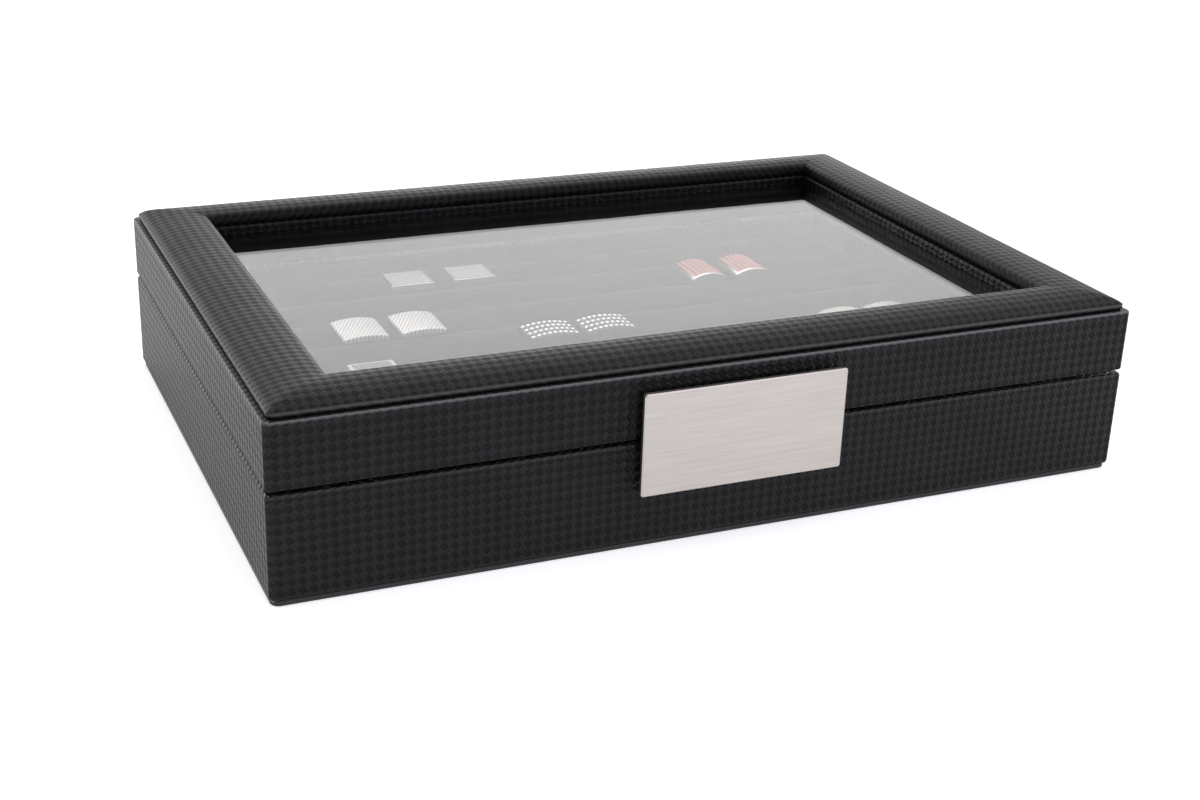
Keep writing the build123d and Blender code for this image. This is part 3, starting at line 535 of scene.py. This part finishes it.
def wrap_skin(name, profile, start_height, polished, polish):
    """A leather wrap from a closed profile of (half x, half y, radius, height) rings."""
    steps = [np.linalg.norm(np.subtract(b, a)[[0, 3]]) for a, b in zip(profile, profile[1:] + profile[:1])]
    heights = start_height + np.concatenate([[0], np.cumsum(steps)])

    def sheet_of(row):
        half_x, half_y, radius, _ = profile[row % len(profile)]
        along = wrapped_along(half_x, half_y, radius)
        along = np.append(along, along[0] + 4 * (HALF_LENGTH + HALF_DEPTH))
        return [(u, heights[row]) for u in along]

    return even_shading(ring_skin(name, profile, "check", sheet_of, polished, 2 * MM, polish))


def inset_ring(inset, height):
    """A ring of the wraps, taken in by inset from the box's sides."""
    return (HALF_LENGTH - inset, HALF_DEPTH - inset, max(CORNER_RADIUS - inset, 0.05 * MM), height)


RIM_INSET = HALF_LENGTH - node_span("glass_bead_back")[1][0]     # the rims' inner edge


def base_profile():
    """Outer wall, rounded rim, rim's inner edge, and back under the leather."""
    bottom, top = BASE_LOW[2] + HEM_GAP, BASE_HIGH[2]
    outside = arc((HEM_RADIUS, bottom + HEM_RADIUS), HEM_RADIUS, -90, -180, 3)
    outside += arc((BASE_EDGE_RADIUS, top - BASE_EDGE_RADIUS), BASE_EDGE_RADIUS, 180, 90, 5)
    outside += [(RIM_INSET, top)]
    skirt = LEATHER - 0.1 * MM
    inside = [(RIM_INSET, top - LEATHER), (LEATHER, top - LEATHER), (LEATHER, BASE_LOW[2])]
    inside += [(skirt, BASE_LOW[2]), (skirt, bottom)]
    return [inset_ring(i, z) for i, z in with_steps(outside) + inside]


base_leather = wrap_skin("base_leather", base_profile(), BASE_LOW[2] + HEM_GAP, BASE_HIGH[2], 0.35)
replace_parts(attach(base_leather, "base"), "base_leather_wrap")


def least_reach(name):
    """How near the middle a CAD node's corners come, along x and along y."""
    places = np.abs([v.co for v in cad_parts[name].data.vertices])
    return places[:, 0].min(), places[:, 1].min()


WINDOW_X, WINDOW_Y = (reach - LEATHER for reach in least_reach("lid_top_panel"))


def window_ring(back, height):
    """A ring of the lid's wrap, set back from the window's opening."""
    return (WINDOW_X + back, WINDOW_Y + back, WINDOW_CORNER_RADIUS, height)


def ring_between(first, last, share):
    """A ring that share of the way from one ring to another."""
    return tuple(a + (b - a) * share for a, b in zip(first, last))


def lid_profile():
    """Rim, outer wall, rounded top edge, top under the padded frame, window's edge, and back underneath."""
    rim, top = LID_LOW[2], LID_HIGH[2]
    outside = [(RIM_INSET, rim)]
    outside += arc((HEM_RADIUS, rim + HEM_RADIUS), HEM_RADIUS, -90, -180, 3)
    outside += arc((LID_EDGE_RADIUS, top - LID_EDGE_RADIUS), LID_EDGE_RADIUS, 180, 90, 6)
    rings = [inset_ring(i, z) for i, z in with_steps(outside)]
    edge = arc((WINDOW_EDGE_RADIUS, top - WINDOW_EDGE_RADIUS), WINDOW_EDGE_RADIUS, 90, 180, 4)
    window = [window_ring(i, z) for i, z in with_steps(edge + [(0, PANEL_BOTTOM)], 1.5 * MM)]
    rings += [ring_between(rings[-1], window[0], share) for share in (0.1, 0.3, 0.5, 0.7, 0.9)]
    rings += window
    rings += [window_ring(LEATHER, PANEL_BOTTOM), window_ring(LEATHER, top - LEATHER)]
    rings += [inset_ring(LEATHER, top - LEATHER), inset_ring(LEATHER, rim + LEATHER)]
    return rings + [inset_ring(RIM_INSET, rim + LEATHER)]


lid_leather = wrap_skin("lid_leather", lid_profile(), LID_LOW[2] - RIM_INSET, LID_HIGH[2], 1.0)
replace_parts(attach(lid_leather, "lid"), "lid_leather_wrap")


POCKET_CUT = 8 * MM            # length of the cutters, well through the leather


def cut_pockets(piece, discs):
    """Opens the leather over round magnets or discs that lie flush in it."""
    low, high = node_span(discs)
    radius = (high[1] - low[1]) / 2
    wide = radius * 1.02
    cutters = bmesh.new()
    for x in (low[0] + radius, high[0] - radius):
        place = Matrix.Translation((x, low[1] + radius, (low[2] + high[2]) / 2))
        bmesh.ops.create_cone(cutters, cap_ends=True, segments=48, radius1=wide, radius2=wide,
                              depth=POCKET_CUT, matrix=place)
    mesh = bpy.data.meshes.new("cutters")
    cutters.to_mesh(mesh)
    cutters.free()
    cutter = bpy.data.objects.new("cutters", mesh)
    bpy.context.scene.collection.objects.link(cutter)
    boolean = piece.modifiers.new("pockets", "BOOLEAN")
    boolean.object = cutter
    boolean.solver = "EXACT"
    piece.modifiers.move(len(piece.modifiers) - 1, 0)
    bpy.context.view_layer.update()
    piece.modifiers["even_shading"].show_viewport = False
    graph = bpy.context.evaluated_depsgraph_get()
    opened = bpy.data.meshes.new_from_object(piece.evaluated_get(graph), depsgraph=graph)
    piece.modifiers.remove(boolean)
    piece.modifiers["even_shading"].show_viewport = True
    piece.data = opened
    bpy.data.objects.remove(cutter)


cut_pockets(base_leather, "base_magnets")
cut_pockets(lid_leather, "lid_strike_discs")


# ====================================================================== padded frame
CROWN_ROW = 16                 # rows of faces from the outer edge up to the crown


def curve(corners, steps):
    """Points of a Bezier curve, with the first and without the last."""
    shares = np.linspace(0, 1, steps + 1)[:-1, None]
    degree = len(corners) - 1
    parts = [
        math.comb(degree, i) * shares ** i * (1 - shares) ** (degree - i) * np.array(corner)
        for i, corner in enumerate(corners)
    ]
    return sum(parts)


def frame_section():
    """The padded frame's section as (share of the width from the outer edge, height) points."""
    floor, top = PAD_LOW[2], PAD_HIGH[2]
    outer, inner = floor + FRAME_OUTER_EDGE, floor + FRAME_INNER_EDGE
    pull = (8 * top - outer - inner) / 6
    curves = [
        curve([(0, outer), (FRAME_LEAN, pull), (1, pull), (1, inner)], 28),
        curve([(1, inner), (1, floor), (1 - FRAME_TUCK, floor)], 3),
        curve([(1 - FRAME_TUCK, floor), (FRAME_TUCK, floor)], 1),
        curve([(FRAME_TUCK, floor), (0, floor), (0, outer)], 3),
    ]
    return [tuple(point) for point in np.concatenate(curves)]


def padded_frame():
    """The padded frame's cover, its leather laid flat outwards from the crown."""
    outer = (PAD_HIGH[0], PAD_HIGH[1])
    inner = (WINDOW_X + PANEL_REVEAL, WINDOW_Y + PANEL_REVEAL)
    section = frame_section()
    rings, reach = [], []
    for axis in (0, 1):
        width = outer[axis] - inner[axis]
        places = [np.array((outer[axis] - share * width, z)) for share, z in section]
        steps = [np.linalg.norm(b - a) for a, b in zip(places, places[1:] + places[:1])]
        run = np.concatenate([[0], np.cumsum(steps)])
        reach.append(places[CROWN_ROW][0] - (run - run[CROWN_ROW]))
    for row, (share, height) in enumerate(section):
        radius = FRAME_CORNER_RADIUS * (1 - share) + WINDOW_CORNER_RADIUS * 2 * share
        rings.append(tuple(outer[a] + (inner[a] - outer[a]) * share for a in (0, 1)) + (radius, height))

    def sheet_of(row):
        radius = rings[row % len(rings)][2]
        flat = [tuple(p) for p in ring(reach[0][row], reach[1][row], radius)]
        return flat + flat[:1]

    rubbed_height = PAD_LOW[2] + 0.7 * FRAME_OUTER_EDGE
    piece = ring_skin("padded_frame", rings, "soft check", sheet_of, rubbed_height, 0.8 * MM, 0.6)
    soften(piece, outer)
    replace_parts(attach(piece, "lid"), "padded_frame_cover", "padded_frame_foam")


SWELL = 0.14 * MM              # unevenness of the padded frame's filling
PLEAT_DEPTH = 0.35 * MM
PLEAT_WIDTH = 0.45 * MM
PLEAT_LENGTH = 3.0 * MM


def soften(piece, outer):
    """Small unevenness of the filling, and the pleats where the leather turns at the outer corners."""
    for vertex in piece.data.vertices:
        place = vertex.co
        swell = noise.noise(place * 28) + 0.5 * noise.noise(place * 75)
        share = (place.z - PAD_LOW[2]) / (PAD_HIGH[2] - PAD_LOW[2])
        vertex.co.z += SWELL * swell * max(share, 0)
        across = abs(abs(place.x) - outer[0] - (abs(place.y) - outer[1])) / math.sqrt(2)
        out = min(outer[0] - abs(place.x), outer[1] - abs(place.y))
        if out < PLEAT_LENGTH and across < 1.2 * MM:
            crease = math.exp(-(across / PLEAT_WIDTH) ** 2) * (1 - out / PLEAT_LENGTH)
            vertex.co.x -= math.copysign(PLEAT_DEPTH * crease, place.x)
            vertex.co.y -= math.copysign(PLEAT_DEPTH * crease, place.y)


padded_frame()

# ====================================================================== padded rolls
ROLL_COUNT = 8
ROLL_DRAW_IN = 1.8 * MM        # each side pulls in by this at the bottom
ROLL_CROWN = 8.0 * MM
ROLL_END_RADIUS = 7.0 * MM
ROLL_STEP = 2.0 * MM
ROLL_END_STEPS = (0.3 * MM, 0.8 * MM, 1.4 * MM)      # more stations this far from each end
ROLL_PINCH, PINCH_REACH = 0.10, 3.5 * MM             # the ends narrow by this share, over this length
ROLL_SINK = 0.28 * MM          # unevenness of the padding under the suede
POST_RADIUS, BAR_RADIUS = 1.4 * MM, 2.0 * MM
POST_LENGTH, BAR_LENGTH = 13.0 * MM, 15.0 * MM
POST_ROOM, BAR_ROOM = 0.5 * MM, 0.6 * MM             # the padding stands off posts and bars


def heads_of(node):
    """The two heads of a pair: (low corner, high corner, height of the top at the left and right edges)."""
    places = np.array([v.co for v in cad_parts[node].data.vertices])
    middle = (places[:, 0].min() + places[:, 0].max()) / 2
    heads = []
    for part in (places[places[:, 0] < middle], places[places[:, 0] > middle]):
        low, high = part.min(0), part.max(0)
        edge = part[part[:, 0] < low[0] + 0.1 * MM][:, 2].max()
        heads.append((low, high, edge))
    return heads


PAIRS = ["plain", "weave", "ribbed", "studded", "framed", "beaded"]
HEADS = {pair: heads_of(f"{pair}_cufflink_heads") for pair in PAIRS}
POSTS = [
    ((low[0] + high[0]) / 2, (low[1] + high[1]) / 2, low[2] - POST_LENGTH)
    for heads in HEADS.values()
    for low, high, _ in heads
]


def roll_section(low, high):
    """Half widths and heights of a roll's section, from one side of its foot over the crown to the other."""
    half = (high[1] - low[1]) / 2
    shoulder = high[2] - ROLL_CROWN
    section = []
    for q in np.linspace(0, 1, 9)[:-1]:
        section.append((half - ROLL_DRAW_IN * (1 - q) ** 2, low[2] + q * (shoulder - low[2])))
    for turn in np.radians(np.linspace(0, 180, 31)):
        section.append((half * math.cos(turn), shoulder + ROLL_CROWN * math.sin(turn)))
    for q in np.linspace(1, 0, 9)[1:]:
        section.append((-half + ROLL_DRAW_IN * (1 - q) ** 2, low[2] + q * (shoulder - low[2])))
    foot = half - ROLL_DRAW_IN
    return section + [(foot * share, low[2]) for share in (-0.6, -0.2, 0.2, 0.6)]


def pressed_aside(x, y, z, middle):
    """How far the padding gives way, along y, to the posts and bars that stand beside it."""
    move = 0.0
    for post_x, post_y, bar_z in POSTS:
        if abs(x - post_x) > 16 * MM or abs(y - post_y) > 8 * MM:
            continue
        side = math.copysign(1, middle - post_y)
        near_post = 1 / (1 + math.exp(-(z - bar_z) / (0.8 * MM)))
        post = (POST_RADIUS + POST_ROOM) * math.exp(-((x - post_x) / (3.4 * MM)) ** 2) * near_post
        over = max(abs(x - post_x) - BAR_LENGTH / 2, 0)
        bar = (BAR_RADIUS + BAR_ROOM) * math.exp(-((z - bar_z) / (2.9 * MM)) ** 2 - (over / (2.0 * MM)) ** 2)
        gap = abs(y - post_y)
        move += side * max(max(post, bar) - gap, 0)
    return move


def roll_stations(low, high):
    """Places along a roll, closer together at its ends."""
    stations = list(np.linspace(low, high, round((high - low) / ROLL_STEP) + 1))
    return sorted(stations + [low + e for e in ROLL_END_STEPS] + [high - e for e in ROLL_END_STEPS])


def roll_skin(number, low, high):
    """A roll's rows of points, one row for each station, and how many points a row has."""
    middle = (low[1] + high[1]) / 2
    section = roll_section(low, high)
    points = []
    for x in roll_stations(low[0], high[0]):
        end = min(x - low[0], high[0] - x)
        short = max(ROLL_END_RADIUS - end, 0)
        drop = ROLL_END_RADIUS - math.sqrt(max(ROLL_END_RADIUS ** 2 - short ** 2, 0))
        pinch = 1 - ROLL_PINCH * max(1 - end / PINCH_REACH, 0) ** 2
        for width, z in section:
            share = (z - low[2]) / (high[2] - low[2])
            height = z - drop * share ** 2
            y = middle + width * pinch
            ripple = noise.noise(Vector((x * 38, y * 60 + number * 9, z * 60)))
            ripple += 0.6 * noise.noise(Vector((x * 110, y * 130 + number * 5, z * 130)))
            sink = ROLL_SINK * (0.8 + 0.5 * ripple) * share
            y -= math.copysign(sink * 0.5, width)
            height -= sink * share
            y += pressed_aside(x, y, height, middle)
            points.append((x, y, height))
    return points, len(section)


def close_end(points, faces, start, count, centre, flip):
    """Closes an end with gathered rings that shrink to a centre; its rim is the count points from start."""
    x, middle_y, middle_z = centre
    rim = start
    for shrink in (0.7, 0.35):
        base = len(points)
        for i in range(count):
            y, z = points[start + i][1:]
            gather = 1 + 0.06 * math.sin(i * 2.4) * (1 - shrink)
            inner_y = middle_y + (y - middle_y) * shrink * gather
            inner_z = middle_z + (z - middle_z) * shrink * gather
            points.append((x, inner_y, inner_z))
        for i in range(count):
            j = (i + 1) % count
            quad = (rim + i, rim + j, base + j, base + i)
            faces.append(quad[::-1] if flip else quad)
        rim = base
    points.append(centre)
    for i in range(count):
        tri = (rim + i, rim + (i + 1) % count, len(points) - 1)
        faces.append(tri[::-1] if flip else tri)


def cushion_roll(number):
    """One padded roll, pressed aside where cufflinks stand beside it."""
    node = f"cushion_roll_{number}"
    low, high = node_span(node)
    points, count = roll_skin(number, low, high)
    last = len(points) - count
    faces = []
    for row in range(0, last, count):
        for i in range(count):
            j = (i + 1) % count
            faces.append((row + i, row + count + i, row + count + j, row + j))
    middle_y, middle_z = (low[1] + high[1]) / 2, (low[2] + high[2]) / 2
    close_end(points, faces, 0, count, (low[0], middle_y, middle_z), False)
    close_end(points, faces, last, count, (high[0], middle_y, middle_z), True)
    piece = new_piece(f"roll_{number}", points, faces, "suede")
    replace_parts(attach(piece, "base"), node)


for roll_number in range(1, ROLL_COUNT + 1):
    cushion_roll(roll_number)


# ====================================================================== cufflinks
def arch_of(low, high, edge):
    """Height of a head's arched top over its seat's plane, as a function of x."""
    half, rise = (high[0] - low[0]) / 2, high[2] - edge
    middle = (low[0] + high[0]) / 2
    if rise < 0.05 * MM:
        return lambda x: high[2]
    radius = (half ** 2 + rise ** 2) / (2 * rise)
    return lambda x: high[2] - radius + math.sqrt(max(radius ** 2 - (x - middle) ** 2, 0))


EDGE_LINES = (0.0, 0.12 * MM, 0.3 * MM)              # grid lines along a block's edge
EDGE_EASE = 0.14 * MM          # how far a block's edge is rounded down


def relief_block(low, high, top, relief, step, corner, marks_x, marks_y):
    """Points, faces and the points' shares of the relief of a block whose top is a fine grid.

    top(x) is the plain top, relief(u, v) is added to it, with u and v from the block's middle, and marks
    are more grid lines from the middle.
    """
    middle = (low + high) / 2
    half = (high - low) / 2

    def lines(reach, marks):
        inner = reach - EDGE_LINES[-1]
        even = np.linspace(-inner, inner, max(2, round(2 * inner / step)) + 1)
        ends = [side * (reach - e) for side in (-1, 1) for e in EDGE_LINES[:2]]
        return np.unique(np.round(np.concatenate([even, ends, list(marks)]), 8))

    us, vs = lines(half[0], marks_x), lines(half[1], marks_y)
    points, faces, reliefs = [], [], []
    for v in vs:
        for u in us:
            du, dv = abs(u) - (half[0] - corner), abs(v) - (half[1] - corner)
            x, y = u, v
            if du > 0 and dv > 0:
                squeeze = max(du, dv) / math.hypot(du, dv)
                x = math.copysign(half[0] - corner + du * squeeze, u)
                y = math.copysign(half[1] - corner + dv * squeeze, v)
            depth = min(half[0] - abs(u), half[1] - abs(v))
            ease = EDGE_EASE * (1 - min(depth / EDGE_LINES[-1], 1)) ** 2
            reliefs.append(relief(u, v))
            points.append((middle[0] + x, middle[1] + y, top(middle[0] + x) + reliefs[-1] - ease))
    wide, deep = len(us), len(vs)
    for row in range(deep - 1):
        for i in range(wide - 1):
            k = row * wide + i
            faces.append((k, k + 1, k + wide + 1, k + wide))
    around = list(range(wide))
    around += [row * wide + wide - 1 for row in range(1, deep)]
    around += [(deep - 1) * wide + i for i in range(wide - 2, -1, -1)]
    around += [row * wide for row in range(deep - 2, 0, -1)]
    start = len(points)
    points += [(points[k][0], points[k][1], low[2]) for k in around]
    reliefs += [None] * len(around)
    for i in range(len(around)):
        j = (i + 1) % len(around)
        faces.append((around[i], start + i, start + j, around[j]))
    faces.append(tuple(range(start, len(points)))[::-1])
    deepest = min(-0.001 * MM, *(height for height in reliefs if height is not None))
    return points, faces, [-1 if height is None else 1 - height / deepest for height in reliefs]


def no_marks(half):
    return (), ()


def relief_pair(name, node, finish, relief, step, corner=HEAD_CORNER, marks=no_marks):
    """Two blocks that stand for a CAD node of two heads or inlays; marks gives their extra grid lines."""
    points, faces, shares = [], [], []
    for low, high, edge in heads_of(node):
        marks_x, marks_y = marks((high - low) / 2)
        top = arch_of(low, high, edge)
        block = relief_block(low, high, top, relief, step, corner, marks_x, marks_y)
        faces += [tuple(k + len(points) for k in face) for face in block[1]]
        points += block[0]
        shares += block[2]
    piece = new_piece(name, points, faces, finish, relief=[(shares[k], 0) for face in faces for k in face])
    sharpen(piece)
    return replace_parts(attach(piece, "base"), node)


def sharpen(piece, angle=38):
    """Marks edges over an angle as sharp, so that flats and steps keep their own shading."""
    made = bmesh.new()
    made.from_mesh(piece.data)
    for edge in made.edges:
        if len(edge.link_faces) == 2:
            edge.smooth = edge.calc_face_angle(0) < math.radians(angle)
    made.to_mesh(piece.data)
    made.free()


def inlaid_head(pair, rim, finish):
    """A pair's heads, each with a rim round its inlay's bed."""
    low, high, _ = HEADS[pair][0]
    half_x, half_y = ((high - low) / 2)[:2]

    def marks(half):
        return [[side * (half[axis] - rim - s) for side in (-1, 1) for s in (0, BED_WALL)] for axis in (0, 1)]

    def relief(u, v):
        inside = min(half_x - rim - abs(u), half_y - rim - abs(v))
        return -BED_DEPTH if inside > BED_WALL / 2 else 0.0

    relief_pair(f"{pair}_heads", f"{pair}_cufflink_heads", finish,
                relief, 0.8 * MM, marks=marks)


def no_relief(u, v):
    return 0.0


def weave_relief(u, v):
    """Strands that cross diagonally."""
    turns = 2 * math.pi / WEAVE_STRAND
    return 0.10 * MM * math.sin((u + v) * turns) * math.sin((u - v) * turns)


inlaid_head("plain", PLAIN_RIM, "silver")
inlaid_head("weave", WEAVE_RIM, "silver")
inlaid_head("framed", FRAMED_RIM, "satin silver")
relief_pair("plain_inlays", "plain_cufflink_inlays", "satin",
            no_relief, 0.8 * MM, INLAY_CORNER)
relief_pair("framed_inlays", "framed_cufflink_inlays", "dark",
            no_relief, 0.8 * MM, INLAY_CORNER)
relief_pair("weave_inlays", "weave_cufflink_inlays", "weave",
            weave_relief, 0.3 * MM, INLAY_CORNER)


def rib_relief(u, v):
    """Fine diagonal ribs."""
    return 0.22 * MM * (abs(math.sin((u - 0.55 * v) * math.pi / (1.5 * MM))) - 1)


relief_pair("ribbed_heads", "ribbed_cufflink_heads", "ribbed", rib_relief, 0.22 * MM)


def dots(columns, rows, pitch_x, pitch_y, radius, height, stagger=0.0):
    """Relief of round studs on a lower ground."""
    def relief(u, v):
        row = round(v / pitch_y + (rows - 1) / 2)
        row = min(max(row, 0), rows - 1)
        centre_v = (row - (rows - 1) / 2) * pitch_y
        shift = stagger * pitch_x * (row % 2 - 0.5)
        column = round((u - shift) / pitch_x + (columns - 1) / 2)
        column = min(max(column, 0), columns - 1)
        centre_u = (column - (columns - 1) / 2) * pitch_x + shift
        away = ((u - centre_u) ** 2 + (v - centre_v) ** 2) / radius ** 2
        return -height + height * math.sqrt(max(1 - away, 0))
    return relief


relief_pair("studded_heads", "studded_cufflink_heads", "studded",
            dots(9, 4, 2.1 * MM, 3.7 * MM, 0.85 * MM, 0.5 * MM), 0.2 * MM)
relief_pair("beaded_heads", "beaded_cufflink_heads", "beaded",
            dots(13, 14, 1.3 * MM, 1.27 * MM, 0.62 * MM, 0.35 * MM, 0.5), 0.2 * MM)


# ====================================================================== light and floor
# Each lobe of light: its aim, the cosines off the aim where it starts and is full, its strength and colour.
LOBES = [
    ((0, 0, 1), -2.0, -1.9, 0.35, (1.0, 0.98, 1.02)),               # everywhere
    ((0.10, 0.97, 0.22), 0.0, 1.0, 0.30, (1.0, 0.99, 0.98)),        # behind
    ((0.30, 0.87, 0.40), 0.75, 1.0, 0.78, (1.0, 0.99, 0.98)),       # behind, what the glass reflects
    ((-0.58, 0.81, -0.05), 0.78, 1.0, 4.8, (1.0, 0.965, 0.94)),     # low, behind and left
    ((0.40, 0.91, -0.09), 0.94, 1.0, 4.5, (1.0, 0.98, 0.96)),       # low, behind and right
    ((0.88, -0.47, 0.1), 0.25, 1.0, 1.15, (0.90, 0.93, 1.12)),      # in front and right
    ((0, 0, 1), 0.3, 1.0, 1.05, (1.0, 0.99, 1.0)),                  # overhead
]


def studio_sky():
    """A soft sky that is brightest behind the box and to its left."""
    bpy.context.scene.view_settings.view_transform = "Standard"
    world = bpy.data.worlds.new("studio")
    bpy.context.scene.world = world
    world.use_nodes = True
    tree = world.node_tree
    background = tree.nodes["Background"]
    direction = tree.nodes.new("ShaderNodeTexCoord").outputs["Generated"]
    total = None
    for aim, low, high, strength, colour in LOBES:
        dot = tree.nodes.new("ShaderNodeVectorMath")
        dot.operation = "DOT_PRODUCT"
        tree.links.new(direction, dot.inputs[0])
        dot.inputs[1].default_value = Vector(aim).normalized()
        lobe = tree.nodes.new("ShaderNodeMapRange")
        lobe.interpolation_type = "SMOOTHSTEP"
        tree.links.new(dot.outputs["Value"], lobe.inputs[0])
        for socket, value in zip(lobe.inputs[1:5], (low, high, 0.0, strength)):
            socket.default_value = value
        tint = tree.nodes.new("ShaderNodeVectorMath")
        tint.operation = "SCALE"
        tint.inputs[0].default_value = colour
        tree.links.new(lobe.outputs[0], tint.inputs["Scale"])
        if total is None:
            total = tint.outputs[0]
            continue
        add = tree.nodes.new("ShaderNodeVectorMath")
        add.operation = "ADD"
        tree.links.new(total, add.inputs[0])
        tree.links.new(tint.outputs[0], add.inputs[1])
        total = add.outputs[0]
    tree.links.new(total, background.inputs["Color"])
    background.inputs["Strength"].default_value = 1.0


def studio_floor():
    """A pale floor, a hair under the box."""
    mesh = bpy.data.meshes.new("floor")
    reach = 4.0
    corners = [(-reach, -reach, 0), (reach, -reach, 0), (reach, reach, 0), (-reach, reach, 0)]
    mesh.from_pydata(corners, [], [(0, 1, 2, 3)])
    floor = bpy.data.objects.new("floor", mesh)
    floor.location.z = -0.02 * MM
    s = Shader("floor")
    s.set(Base_Color=s.blend(s.remap(s.noise(s.place(), 6), 0.3, 0.7), grey(0.84), grey(0.86)), Roughness=0.9,
          Specular_IOR_Level=0.1, Emission_Color=grey(1.0), Emission_Strength=0.42)
    mesh.materials.append(s.material)
    bpy.context.scene.collection.objects.link(floor)


studio_sky()
studio_floor()


# ====================================================================== camera
def place_camera():
    """Aims along azimuth and elevation from its place, turned by its roll."""
    azimuth, elevation, roll = (math.radians(a) for a in (CAMERA_AZIMUTH, CAMERA_ELEVATION, CAMERA_ROLL))
    back = Vector((
        math.sin(azimuth) * math.cos(elevation),
        -math.cos(azimuth) * math.cos(elevation),
        math.sin(elevation),
    ))
    right = Vector((math.cos(azimuth), math.sin(azimuth), 0))
    up = back.cross(right)
    across = right * math.cos(roll) + up * math.sin(roll)
    upward = up * math.cos(roll) - right * math.sin(roll)
    camera = bpy.data.objects.new("camera", bpy.data.cameras.new("camera"))
    camera.data.lens = CAMERA_LENS
    camera.data.sensor_width = CAMERA_SENSOR
    camera.data.clip_start = 0.01
    turned = Matrix((across, upward, back)).transposed().to_4x4()
    camera.matrix_world = Matrix.Translation(CAMERA_PLACE) @ turned
    bpy.context.scene.collection.objects.link(camera)
    bpy.context.scene.camera = camera


place_camera()
